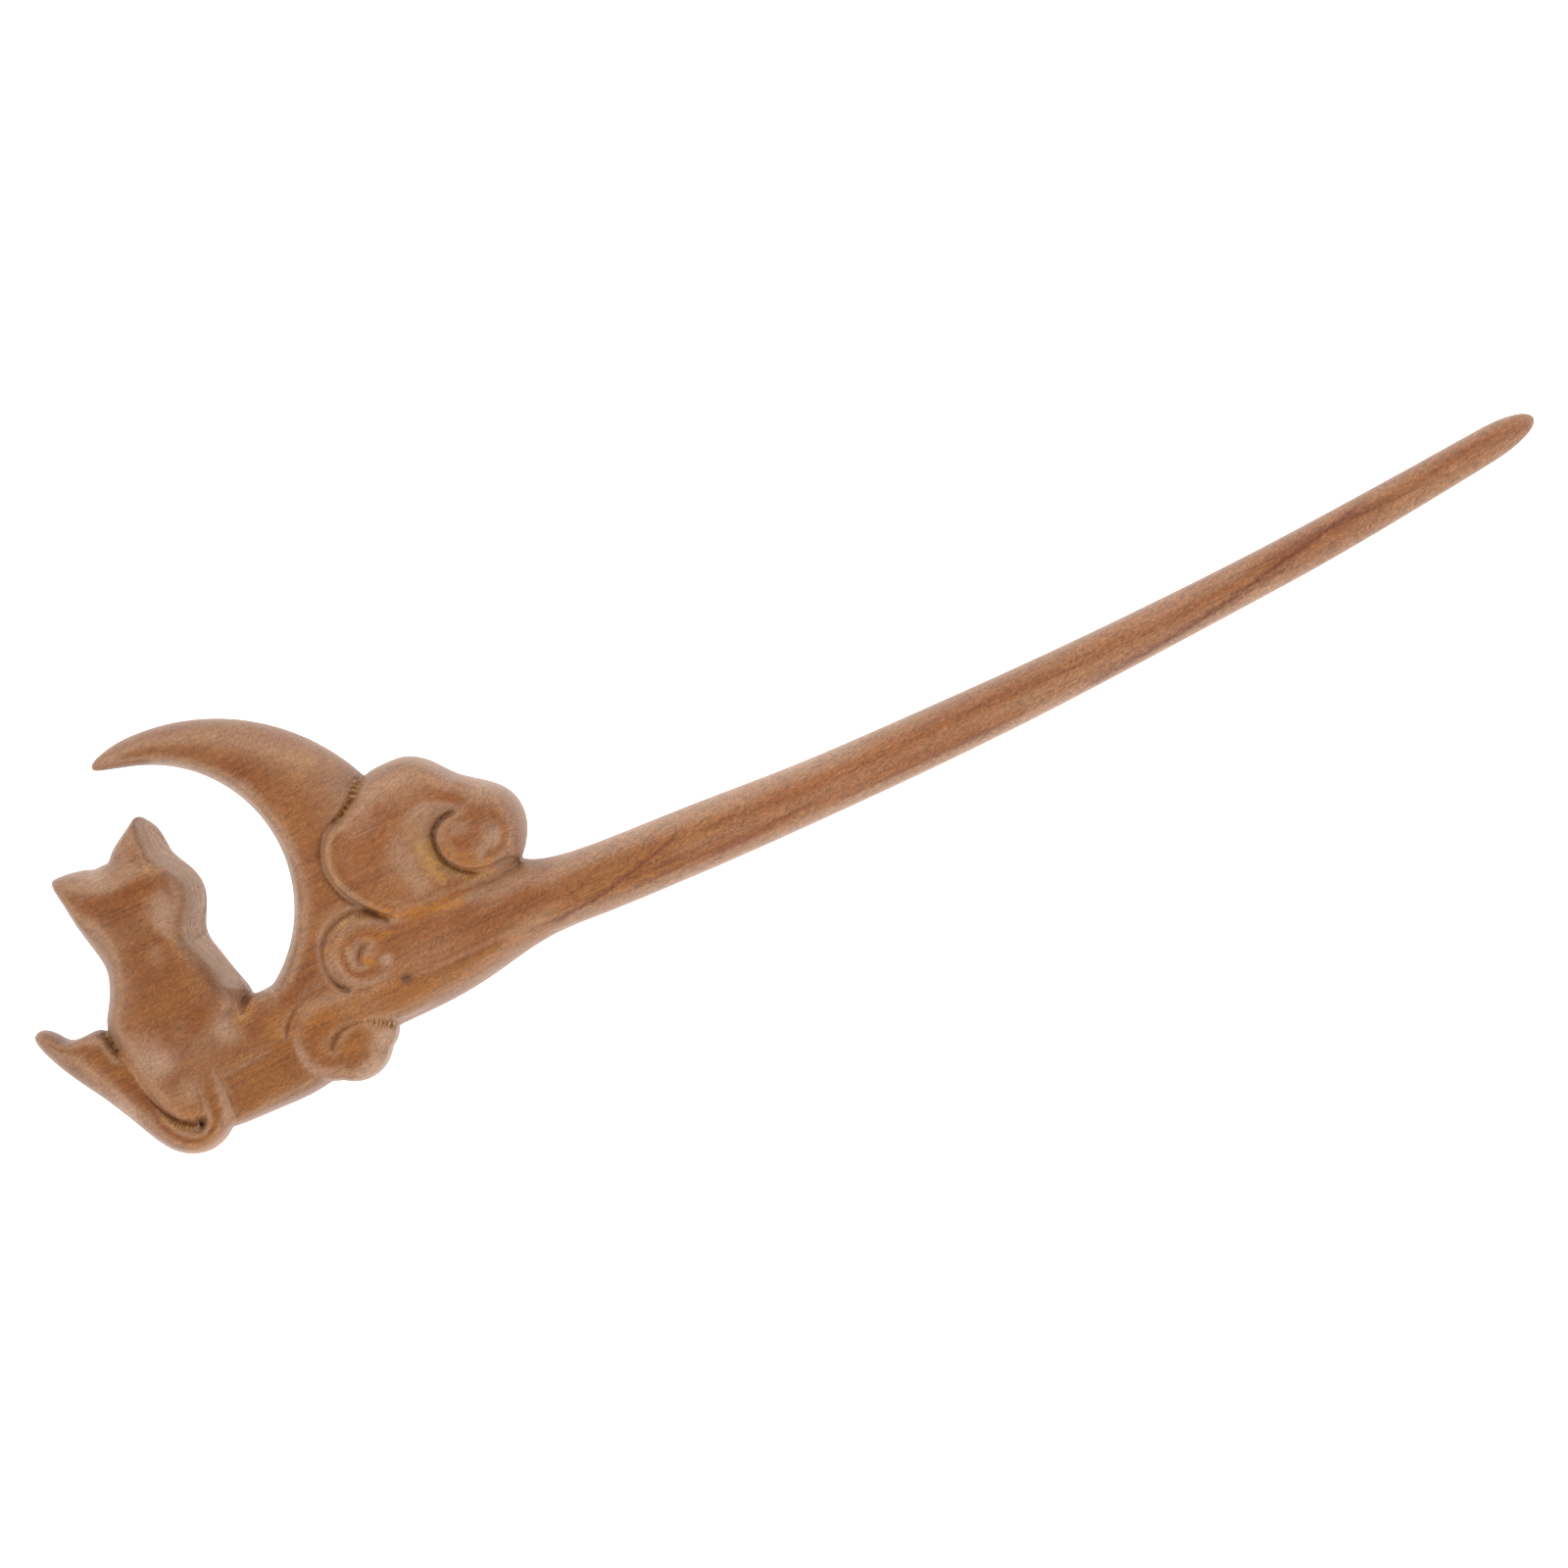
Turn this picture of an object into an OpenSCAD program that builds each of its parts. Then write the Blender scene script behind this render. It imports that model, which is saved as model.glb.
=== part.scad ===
/* [Board] */
// Thickness of the board that the head is carved from
board_t = 9.8; // [9:0.1:12]
// Height of the plane where the rounded sides stand straight up
waist_z = 4.2; // [3.6:0.1:4.6]
// How much deeper the rounded sides swell below that plane than above it, before the flat back cuts them
back_swell = 1.4; // [1.25:0.05:1.6]
// Thickness of the smooth ground that the figures rise from
ground_t = 7.6; // [6.8:0.1:8.2]

/* [Moon] */
// Radius of the outer edge of the crescent
moon_outer_r = 24.2; // [23.4:0.1:25]
// Radius of the round gap inside the crescent
moon_gap_r = 15.9; // [15.2:0.1:16.6]
// Distance from the centre of the outer edge to the centre of the gap
moon_shift = 7.8; // [7.2:0.1:8.4]
// Direction of the gap's centre, counted from the shaft's direction
moon_turn = 132; // [128:1:136]
// Thickness of the crescent at its root
moon_t = 8.6; // [7.8:0.1:9.4]
// Thickness of the crescent at its tip
moon_tip_t = 5.4; // [5:0.1:7]

/* [Stem] */
// Length of the shaft, from the throat of the neck to its point
shaft_l = 118; // [100:1:140]
// Width of the shaft at the throat
shaft_w = 7.9; // [6.8:0.1:9]
// Width of the shaft just before its point
shaft_tip_w = 4; // [3.2:0.1:4.8]
// Thickness of the shaft at the throat
shaft_t = 6.8; // [6:0.1:7.6]
// Thickness of the shaft just before its point
shaft_tip_t = 3.6; // [3:0.1:4.6]
// Length of the rounded point
point_l = 6.3; // [5:0.1:10]
// Radius of the shaft's gentle bow
bow_r = 640; // [500:10:900]
// Length of the neck, from the cat's seat to the throat
neck_l = 52; // [50:0.5:54]
// How far the head flares below the shaft's width
flare_w = 4.6; // [4:0.1:5]
// Height of the shaft's middle line at the throat above the head's lowest edge
throat_y = 9.6; // [9.2:0.1:10]

/* [Cat] */
// Height of the cat from its paw to the notch between its ears
cat_h = 30.2; // [28.6:0.1:31.6]
// Breadth of the cat across its haunches
cat_w = 15.8; // [15:0.1:16.6]
// Thickness of the cat at its haunches
cat_t = 9.4; // [8.8:0.1:10.4]
// Height of the taller ear above the notch
ear_h = 3.2; // [2.4:0.1:4]

/* [Tail] */
// Reach of the tail beside the cat, from its lowest bend to its tip
tail_h = 19.8; // [18.6:0.1:21]
// Reach of the tail across the board, from its tip to its curled end
tail_l = 16; // [15.4:0.1:16.8]
// Width of the tail at its middle
tail_w = 3.6; // [3.2:0.1:4.2]
// Thickness of the tail
tail_t = 8.2; // [7.4:0.1:9]

/* [Clouds] */
// Radius of the lobes of the top cloud
lobe_r = 6.1; // [5.7:0.1:6.5]
// Thickness of the top cloud
lobe_t = 9.6; // [9:0.1:10.6]
// Radius of the curl on the top cloud
curl_r = 3.6; // [3.2:0.1:4]
// Radius of the middle scroll
scroll_r = 4.9; // [4.5:0.1:5.3]
// Radius of the lower scroll
foot_r = 6; // [5.6:0.1:6.4]
// Thickness of the two scrolls
scroll_t = 9; // [8.4:0.1:10]
// Radius of the ball that ends the lower scroll
ball_r = 4.1; // [3.7:0.1:4.5]
// Width of the carved grooves
groove_w = 1.2; // [0.9:0.1:1.6]
// Depth of the carved grooves
groove_d = 1.1; // [0.7:0.1:1.5]

/* [Hidden] */
wood = "#a8704a";

// The head is laid out around the centre of the moon's outer edge
gap_c = moon_shift * [cos(moon_turn), sin(moon_turn)];
foot_y = -(moon_outer_r - 2.6);
tail_x = -(moon_outer_r - 1);
cat_c = [tail_x + tail_l - 0.2, foot_y + 3.8];
seat_x = tail_x + 10;
throat = [seat_x + neck_l, foot_y + throat_y];
tip_x = throat[0] + shaft_l;
ring_r = moon_outer_r - 6.7;
cloud_c = moon_outer_r * [cos(2), sin(2)];
scroll_c = ring_r * [cos(-31.5), sin(-31.5)];
foot_c = ring_r * [cos(-66), sin(-66)];
ball_c = [foot_c[0] + 0.32 * foot_r, foot_y + ball_r];
curl_c = cloud_c + lobe_r * [0.96, -0.48];

// Where the shaft's bow is lowest, as a share of its length
bow_low = 0.41;
SIDES = 16;

// Edges of the neck on both sides of the shaft's width, from the seat to the throat.
// Columns: place as a share of neck_l, flare below and above as shares of flare_w, crown as a share of ground_t
NECK = [
    [0.00, -0.05, -0.75, 0.72],
    [0.04, 0.60, 0.05, 0.90],
    [0.11, 0.92, 0.14, 0.97],
    [0.23, 0.95, 0.10, 1.00],
    [0.31, 0.98, 0.02, 1.00],
    [0.39, 0.83, 0.22, 1.01],
    [0.46, 0.53, 0.48, 1.03],
    [0.54, 0.33, 0.60, 1.06],
    [0.65, 0.33, 0.56, 1.09],
    [0.77, 0.20, 0.38, 1.08],
    [0.89, 0.02, 0.16, 1.05],
];

// Outline of the cat's body, from its paw up to the notch between its ears.
// Columns: height as a share of cat_h, left and right edge as shares of cat_w, crown as a share of cat_t
CAT = [
    [0.00, -0.26, -0.14, 0.78],
    [0.05, -0.33, -0.09, 0.86],
    [0.13, -0.41, 0.08, 0.94],
    [0.23, -0.45, 0.35, 1.00],
    [0.32, -0.49, 0.44, 1.00],
    [0.40, -0.50, 0.50, 0.98],
    [0.46, -0.49, 0.47, 0.95],
    [0.53, -0.39, 0.45, 0.92],
    [0.60, -0.34, 0.41, 0.89],
    [0.65, -0.32, 0.42, 0.88],
    [0.70, -0.33, 0.49, 0.91],
    [0.78, -0.37, 0.56, 0.98],
    [0.86, -0.39, 0.51, 1.00],
    [0.93, -0.40, 0.44, 0.95],
    [0.97, -0.40, 0.39, 0.85],
    [1.00, -0.24, 0.17, 0.70],
];

// Outlines of the lower and the taller ear, each from its root inside the head up to its tip.
// Columns: height above the notch as a share of ear_h, edges as shares of cat_w, crown as a share of cat_t
LOW_EAR = [
    [-0.93, -0.40, -0.01, 0.92],
    [-0.37, -0.41, -0.06, 0.88],
    [-0.06, -0.42, -0.11, 0.82],
    [0.13, -0.42, -0.20, 0.75],
    [0.24, -0.40, -0.30, 0.67],
];
TALL_EAR = [
    [-0.80, -0.05, 0.44, 0.94],
    [-0.24, -0.04, 0.43, 0.90],
    [0.13, 0.01, 0.43, 0.86],
    [0.44, 0.10, 0.41, 0.81],
    [0.76, 0.20, 0.37, 0.75],
    [0.98, 0.28, 0.34, 0.67],
];

// Middle line of the tail, from its tip round its lowest bend to its curled end.
// Columns: place across as a share of tail_l, height as a share of tail_h, half width as a share of tail_w,
// crown as a share of tail_t
TAIL = [
    [0.053, 1.03, 0.13, 0.66],
    [0.063, 0.99, 0.28, 0.74],
    [0.094, 0.915, 0.35, 0.82],
    [0.195, 0.79, 0.42, 0.88],
    [0.30, 0.63, 0.49, 0.92],
    [0.43, 0.466, 0.50, 0.95],
    [0.53, 0.304, 0.49, 0.98],
    [0.60, 0.188, 0.49, 1.00],
    [0.70, 0.107, 0.50, 1.00],
    [0.825, 0.092, 0.49, 1.01],
    [0.925, 0.137, 0.44, 1.01],
    [0.963, 0.243, 0.40, 0.99],
    [0.963, 0.38, 0.33, 0.95],
];

// Web of wood between the tail and the cat's back, with the straight shelf on top.
// Columns: height as a share of tail_h, left and right edge as shares of tail_l, crown as a share of tail_t
WEB = [
    [0.15, 0.62, 0.80, 0.72],
    [0.25, 0.60, 0.76, 0.74],
    [0.40, 0.47, 0.64, 0.80],
    [0.55, 0.36, 0.61, 0.85],
    [0.70, 0.24, 0.60, 0.88],
    [0.83, 0.19, 0.60, 0.86],
    [0.88, 0.24, 0.60, 0.70],
];

// Lobes of the top cloud, placed from the point where it sits on the moon's rim.
// Columns: place along and across and radius as shares of lobe_r, crown as a share of lobe_t
LOBES = [
    [-0.71, -0.06, 0.96, 0.98],
    [0.21, 0.42, 1.03, 1.00],
    [-0.15, 0.62, 0.80, 0.93],
    [1.08, -0.32, 0.98, 0.94],
    [0.20, -0.62, 0.95, 0.95],
];

// Superellipse ring: [across, up] for each side, where a plump below 1 makes a fuller section
function rounded(v, plump) = sign(v) * pow(abs(v), plump);
function ring(plump) = [
    for (i = [0:SIDES - 1])
        let (a = 360 * (i + 0.5) / SIDES)
        [rounded(cos(a), plump), rounded(sin(a), plump)]
];

// Section that stands across the form from the edge point a, left of the way, to b, right of it
function rib(a, b, low, waist, high, plump) = [
    for (p = ring(plump))
        let (m = (a + b) / 2 + (b - a) / 2 * p[0] / ring(plump)[0][0])
        [m[0], m[1], waist + p[1] * (p[1] > 0 ? high - waist : waist - low)]
];

// Section of a form that sits on the board's flat back, or hangs above it where its crown is low
function seated(a, b, crown, plump = 0.75) =
    rib(a, b, waist_z - (crown - waist_z) * back_swell, waist_z, crown, plump);

// Unit vector to the right of the way at point i of a list that starts with x and y
function way(list, i) =
    let (a = list[max(i - 1, 0)], b = list[min(i + 1, len(list) - 1)], d = [b[0] - a[0], b[1] - a[1]])
    d / norm(d);
function right_of(list, i) = let (d = way(list, i)) [d[1], -d[0]];

// Solid through a list of ribs
module loft(ribs) {
    n = len(ribs[0]);
    last = (len(ribs) - 1) * n;
    sides = [
        for (i = [0:len(ribs) - 2], j = [0:n - 1])
            let (p = i * n + j, q = i * n + (j + 1) % n)
            each [[p, q + n, p + n], [p, q, q + n]]
    ];
    start = [[for (j = [n - 1:-1:0]) j]];
    end = [[for (j = [0:n - 1]) last + j]];
    polyhedron([for (r = ribs) each r], concat(sides, start, end), convexity = 6);
}

// Low dome with the plan of an ellipse
module dome(c, rx, ry, crown) {
    loft([
        for (b = [-75:15:75])
            let (x = rx * cos(b), y = c[1] + ry * sin(b), rise = pow(cos(b), 0.6))
            seated([c[0] - x, y], [c[0] + x, y], waist_z + (crown - waist_z) * rise)
    ]);
}

// Groove cut along a list of [x, y, height of the surface]
module groove(path) {
    loft([
        for (i = [0:len(path) - 1])
            let (p = path[i], r = right_of(path, i) * groove_w / 2, m = [p[0], p[1]])
            rib(m - r, m + r, p[2] - groove_d, p[2] + 0.3, p[2] + 2, 1)
    ]);
}

// Points of an arc or spiral on the surface, from radius and height r0, z0 to r1, z1
function spiral(c, r0, r1, a0, a1, z0, z1) = [
    for (i = [0:12])
        let (t = i / 12, a = a0 + (a1 - a0) * t, r = r0 + (r1 - r0) * t)
        [c[0] + r * cos(a), c[1] + r * sin(a), z0 + (z1 - z0) * t]
];

// Distance from the gap's centre to the moon's outer edge in the direction a
function outer_reach(a) =
    let (d = [cos(a), sin(a)], s = -(d * gap_c))
    s + sqrt(s * s - gap_c * gap_c + moon_outer_r * moon_outer_r);

// Crescent between its two circles, from the tip down to the root under the clouds
module moon() {
    tip_a = 89;
    root_a = -62;
    loft([
        for (i = [0:17])
            let (
                t = i / 17,
                a = tip_a + (root_a - tip_a) * t,
                d = [cos(a), sin(a)],
                root = max(0, t - 0.75) / 0.25,
                blunt = i == 0 ? 0.5 : i == 1 ? 0.9 : 1,
                w = (outer_reach(a) - moon_gap_r) * (1 - 0.55 * root),
                m = moon_gap_r + w / 2,
                crown = moon_tip_t + (moon_t - moon_tip_t) * sin(90 * min(1, 1.6 * t))
            )
            seated(
                gap_c + (m + blunt * w / 2) * d,
                gap_c + (m - blunt * w / 2) * d,
                crown - (1 - blunt) * 1.2
            )
    ]);
}

// Middle line of the shaft at the distance x from the throat
function bow_y(x) =
    let (low = bow_low * shaft_l)
    throat[1] - (low * low - (x - low) * (x - low)) / (2 * bow_r);

// Neck and shaft in one run from the cat's seat to the rounded point
module stem() {
    neck = [
        for (r = NECK)
            let (x = seat_x + r[0] * neck_l)
            seated(
                [x, throat[1] + shaft_w / 2 + r[2] * flare_w],
                [x, throat[1] - shaft_w / 2 - r[1] * flare_w],
                r[3] * ground_t
            )
    ];
    straight_l = shaft_l - point_l;
    shaft = [
        for (i = [0:20])
            let (
                nose = max(0, i - 12) / 8,
                x = min(i, 12) / 12 * straight_l + point_l * sin(90 * min(nose, 0.97)) * 0.999,
                round_off = cos(90 * min(nose, 0.94)),
                t = min(1, x / straight_l),
                w = (shaft_w + (shaft_tip_w - shaft_w) * t) * round_off,
                h = (shaft_t + (shaft_tip_t - shaft_t) * t) * round_off,
                y = bow_y(x)
            )
            rib(
                [throat[0] + x, y + w / 2],
                [throat[0] + x, y - w / 2],
                waist_z - h / 2,
                waist_z,
                waist_z + h / 2,
                0.9
            )
    ];
    loft(concat(neck, shaft));
}

// Form that runs up the board: rows of height, left and right edge and crown, as shares of h, w and t from c
module standing(rows, c, w, h, t) {
    loft([
        for (r = rows)
            let (y = c[1] + r[0] * h)
            seated([c[0] + r[1] * w, y], [c[0] + r[2] * w, y], r[3] * t)
    ]);
}

// Haunches, back and head of the cat, with an ear on each side of the notch
module cat() {
    notch = cat_c + [0, cat_h];
    standing(CAT, cat_c, cat_w, cat_h, cat_t);
    for (e = [LOW_EAR, TALL_EAR]) standing(e, notch, cat_w, ear_h, cat_t);
}

function tail_point(r) = [tail_x + r[0] * tail_l, foot_y + r[1] * tail_h];

// Tail that lies round the cat's back and curls up at its paw
module tail() {
    loft([
        for (i = [0:len(TAIL) - 1])
            let (r = TAIL[i], p = tail_point(r), side = right_of([for (q = TAIL) tail_point(q)], i) * r[2] * tail_w)
            seated(p - side, p + side, r[3] * tail_t)
    ]);
}

// Web between the tail and the cat's back
module web() {
    standing(WEB, [tail_x, foot_y], tail_l, tail_h, tail_t);
}

// Lobes that run into one another, from the moon's rim to the throat
module top_cloud() {
    for (r = LOBES)
        dome(cloud_c + lobe_r * [r[0], r[1]], lobe_r * r[2], lobe_r * r[2], lobe_t * r[3]);
}

module scrolls() {
    dome(scroll_c, scroll_r, scroll_r, scroll_t);
    dome(foot_c, foot_r * 0.9, foot_r * 0.86, scroll_t * 0.95);
    dome(ball_c, ball_r, ball_r, scroll_t * 0.97);
}

// Grooves that draw the curls
module cuts() {
    groove(spiral(curl_c, curl_r * 0.95, curl_r * 1.1, 75, 315, lobe_t * 0.97, lobe_t * 0.8));
    groove(spiral(scroll_c, scroll_r * 1.02, scroll_r * 0.98, 50, 240, scroll_t * 0.88, scroll_t * 0.88));
    groove(spiral(scroll_c, scroll_r * 0.3, scroll_r * 0.55, -60, 200, scroll_t, scroll_t));
    groove(spiral(ball_c, ball_r * 0.9, ball_r * 0.7, 40, 200, scroll_t * 0.9, scroll_t * 0.94));
}

module hair_stick() {
    color(wood)
    translate([-(tail_x + tip_x) / 2, -(foot_y + moon_outer_r) / 2, 0])
    intersection() {
        translate([tail_x - 5, foot_y - 5, 0]) cube([tip_x - tail_x + 10, moon_outer_r - foot_y + 10, board_t]);
        difference() {
            union() {
                moon();
                stem();
                cat();
                tail();
                web();
                top_cloud();
                scrolls();
            }
            cuts();
        }
    }
}

hair_stick();
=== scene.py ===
# %% [markdown]
# # A carved wooden hair stick
# The real thing is one piece of reddish-brown wood: a long, gently bowed shaft, and a flat-backed head with a
# crescent moon, a seated cat with its tail, and a bank of curled clouds. A carver saws the outline out of a
# board, rounds the forms, sets the lines in with a gouge and rubs the whole thing down with oil. This lesson
# works in the same order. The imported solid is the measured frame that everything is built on.

# %% Load the frame
import math
import time
import bmesh
import bpy
import numpy as np
from mathutils import Matrix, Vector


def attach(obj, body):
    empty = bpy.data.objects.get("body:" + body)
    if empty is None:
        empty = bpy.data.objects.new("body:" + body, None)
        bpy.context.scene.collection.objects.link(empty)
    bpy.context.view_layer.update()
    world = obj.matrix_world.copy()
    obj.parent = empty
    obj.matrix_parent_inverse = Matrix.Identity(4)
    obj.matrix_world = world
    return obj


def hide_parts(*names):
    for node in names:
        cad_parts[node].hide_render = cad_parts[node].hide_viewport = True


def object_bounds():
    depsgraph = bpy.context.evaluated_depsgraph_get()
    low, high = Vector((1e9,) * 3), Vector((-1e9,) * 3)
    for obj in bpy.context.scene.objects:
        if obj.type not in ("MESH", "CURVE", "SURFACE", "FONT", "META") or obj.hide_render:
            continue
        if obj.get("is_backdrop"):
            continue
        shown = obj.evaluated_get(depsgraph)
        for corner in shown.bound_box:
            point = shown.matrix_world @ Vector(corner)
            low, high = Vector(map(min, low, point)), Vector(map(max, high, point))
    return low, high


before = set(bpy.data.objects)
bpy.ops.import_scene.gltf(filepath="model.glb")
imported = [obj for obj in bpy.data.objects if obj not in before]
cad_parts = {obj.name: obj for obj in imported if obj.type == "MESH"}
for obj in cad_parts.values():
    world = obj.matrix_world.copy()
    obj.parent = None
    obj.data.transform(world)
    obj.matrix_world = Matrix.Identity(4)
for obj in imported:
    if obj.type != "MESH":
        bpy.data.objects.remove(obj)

CAD_LOW, CAD_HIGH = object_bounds()
STARTED = time.time()
MM = 0.001
print("frame box, mm:", [round(v / MM, 2) for v in (*CAD_LOW, *CAD_HIGH)])

# %% [markdown]
# ## Working size
# The carving is modelled with one unit to the millimetre, because Blender's merge distances suit a thing of
# that size, and it is brought down to metres when it is finished. All forms share one waist, the height at
# which their sides are widest. Above it they round over to their crowns, and below it to the flat back.

# %% Working size
WAIST = 4.2
BACK_REACH = 2.4
QUARTER = [math.radians(a) for a in (0, 20, 40, 60, 78)]


def nothing_selected():
    if bpy.context.object and bpy.context.object.mode != "OBJECT":
        bpy.ops.object.mode_set(mode="OBJECT")
    bpy.ops.object.select_all(action="DESELECT")

# %% [markdown]
# ## One rib of a form
# A carved form is easiest to describe by its ribs: upright slices that stand across it one after another. A
# rib has its two edges in the outline, its crown, and the reach of the rounded shoulder on either side. A
# short reach gives a steep wall, and a long one a soft slope.

# %% Rib helper
def rib(left, right, crown, left_reach, right_reach, back=0.0, dome=0.25, straight=1.0):
    left, right = np.array(left, float), np.array(right, float)
    width = np.linalg.norm(right - left)
    across = (right - left) / max(width, 1e-6)
    fit = min(1, 0.96 * width / (left_reach + right_reach))
    a, b = left_reach * fit, right_reach * fit
    rise, drop = crown - WAIST, WAIST - back
    edge = min(BACK_REACH, width * 0.4)
    profile = [(a * (1 - math.cos(q)), WAIST + rise * math.sin(q)) for q in QUARTER]
    profile += [(0.5 * (a + width - b), crown + dome * min(1, (width - a - b) / 4))]
    profile += [(width - b * (1 - math.cos(q) ** straight), WAIST + rise * math.sin(q) ** straight)
                for q in reversed(QUARTER)]
    profile += [(width - edge * (1 - math.cos(q)), WAIST - drop * math.sin(q)) for q in QUARTER[1:]]
    profile += [(edge * (1 - math.cos(q)), WAIST - drop * math.sin(q)) for q in reversed(QUARTER[1:])]
    return [(*(left + across * s), z) for s, z in profile]

# %% [markdown]
# ## From ribs to a form
# The first rib is a filled circle whose points are moved to their places. Each further rib is an extrusion of
# the last one. A subdivision surface then runs smoothly through this cage. It pulls a round cage in by nearly
# two hundredths, so the ribs are set that much fuller.

# %% Form helper
FULLER = 1.018
forms = []


def form(name, ribs, levels=2):
    nothing_selected()
    bpy.ops.mesh.primitive_circle_add(vertices=len(ribs[0]), radius=1, fill_type="NGON")
    piece = bpy.context.object
    piece.name = name
    bpy.ops.object.mode_set(mode="EDIT")
    last = None
    for points in ribs:
        if last:
            bpy.ops.mesh.extrude_region_move()
        mesh = bmesh.from_edit_mesh(piece.data)
        mesh.verts.ensure_lookup_table()
        face = next(f for f in mesh.faces if f.select)
        now = [v.index for v in face.verts]
        if last:
            fresh = set(now)
            now = [next(e.other_vert(mesh.verts[i]).index for e in mesh.verts[i].link_edges
                        if e.other_vert(mesh.verts[i]).index in fresh) for i in last]
        points = np.array(points, float)
        middle = points.mean(0)
        for i, place in zip(now, middle + (points - middle) * FULLER):
            mesh.verts[i].co = place
        last = now
        bmesh.update_edit_mesh(piece.data)
    bpy.ops.mesh.select_all(action="SELECT")
    bpy.ops.mesh.normals_make_consistent(inside=False)
    bpy.ops.object.mode_set(mode="OBJECT")
    smooth = piece.modifiers.new("Smooth form", "SUBSURF")
    smooth.levels = smooth.render_levels = levels
    bpy.ops.object.modifier_apply(modifier=smooth.name)
    forms.append(piece)
    print(name, "has", len(ribs), "ribs and", len(piece.data.polygons), "faces")
    return piece

# %% [markdown]
# ## The crescent moon
# Its two edges are circles that lie off centre, so the width of each rib follows from them and isn't
# measured. The inner side is cut steeply, and the outer side falls away in a long soft slope.

# %% Crescent
GAP_CENTRE = np.array([-72.0, 4.5])
GAP_R = 15.94
MOON_CENTRE = np.array([-66.77, -1.26])
MOON_R = 24.16


def moon_reach(direction):
    off = MOON_CENTRE - GAP_CENTRE
    s = direction @ off
    return s + math.sqrt(s * s - off @ off + MOON_R ** 2)


def moon_ribs(count=26, tip_angle=88.9, root_angle=-66.0):
    ribs = []
    for i in range(count):
        t = i / (count - 1)
        angle = math.radians(tip_angle + (root_angle - tip_angle) * t)
        d = np.array([math.cos(angle), math.sin(angle)])
        width = (moon_reach(d) - GAP_R) * (1 - 0.55 * max(0, t - 0.7) / 0.3)
        blunt = min(1.0, 0.4 + 0.45 * i)
        crown = 5.6 + 2.5 * math.sin(math.pi / 2 * min(1, t * 1.9)) - 0.9 * max(0, t - 0.72) / 0.28
        middle, half = GAP_R + width / 2, blunt * width / 2
        rise = min(1, 0.45 + 0.3 * i)
        ribs.append(rib(GAP_CENTRE + d * (middle + half), GAP_CENTRE + d * (middle - half),
                        WAIST + (crown - WAIST) * rise, 0.62 * width, 0.7 + 1.2 * t,
                        max(0.0, 2.0 - 5 * t), 0.3))
    return ribs


form("moon", moon_ribs())

# %% [markdown]
# ## Neck and shaft
# The neck narrows from the ground under the cat to the throat, and the shaft goes on from there as an oval
# that bows a little and tapers to a rounded point. The shaft's middle line is an arc of a large circle, and
# its two edges were read off the picture one by one, because a hand-made shaft isn't quite even.

# %% Neck
NECK = [
    # x, upper edge, lower edge, crown, upper reach, lower reach
    (-80.0, -13.2, -17.0, 6.0, 1.5, 1.5),
    (-78.0, -9.0, -20.0, 6.8, 2.0, 1.6),
    (-74.5, -8.4, -21.3, 7.3, 2.0, 1.3),
    (-71.0, -8.4, -21.45, 7.5, 2.0, 1.3),
    (-67.5, -8.6, -21.55, 7.5, 1.8, 1.3),
    (-64.5, -9.2, -21.7, 7.5, 2.0, 1.4),
    (-61.0, -8.4, -21.2, 7.4, 2.2, 1.6),
    (-57.5, -5.5, -20.0, 7.3, 2.5, 2.0),
    (-54.5, -3.4, -18.9, 7.5, 2.5, 2.2),
    (-52.0, -3.0, -18.72, 7.8, 2.5, 2.0),
    (-48.0, -4.0, -18.8, 8.1, 2.5, 2.2),
    (-44.0, -5.6, -18.66, 8.3, 2.5, 2.5),
    (-40.0, -7.0, -18.1, 8.3, 2.6, 2.9),
    (-36.0, -7.3, -17.25, 8.2, 3.0, 3.4),
    (-33.2, -7.4, -16.98, 8.05, 3.2, 3.6),
    (-32.4, -7.8, -16.94, 8.0, 3.4, 3.7),
    (-31.6, -8.35, -16.95, 7.95, 3.6, 3.8),
    (-30.2, -8.85, -17.0, 7.85, 3.7, 3.6),
    (-28.0, -9.3, -17.05, 7.75, 3.8, 3.4),
    (-24.0, -9.85, -17.1, 7.5, 3.6, 3.2),
    (-21.0, -10.6, -16.9, 7.1, 3.4, 3.0),
]

# %% Bow and edges of the shaft
BACK_LIFTS_AT = -28.0
POINT_X = CAD_HIGH.x / MM
POINT_L = 6.3
BOW_R = 640.0
BOW_LOW = (20.0, -14.8)
SHAFT = np.array([
    # x, how far the two edges lie off the bow, upper and lower
    (-36, 3.9, 4.1), (-30, 3.75, 4.1), (-26, 3.56, 4.1), (-22, 3.54, 4.02), (-18, 3.6, 3.9),
    (-14, 3.62, 3.84), (-9, 3.52, 3.72), (-4, 3.34, 3.58), (2, 3.2, 3.44), (9, 3.18, 3.32),
    (17, 3.12, 3.18), (26, 2.97, 3.0), (35, 2.82, 2.76), (44, 2.69, 2.52), (53, 2.53, 2.42),
    (61, 2.44, 2.4), (69, 2.38, 2.24), (77, 2.24, 2.02), (83.7, 2.12, 1.9),
])

# %% Ribs of the shaft
def bow(x):
    return BOW_LOW[1] + (x - BOW_LOW[0]) ** 2 / (2 * BOW_R)


def squarer(turn):
    """One turn of the section. Its top is a little flat, and rounds off sooner towards the lower edge."""
    fullness = 2.2 if math.sin(turn) < 0 else 2.5 if math.cos(turn) > 0 else 3.6
    c, s = math.cos(turn), math.sin(turn)
    return (math.copysign(abs(c) ** (2 / fullness), c), math.copysign(abs(s) ** (2 / fullness), s))


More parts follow.
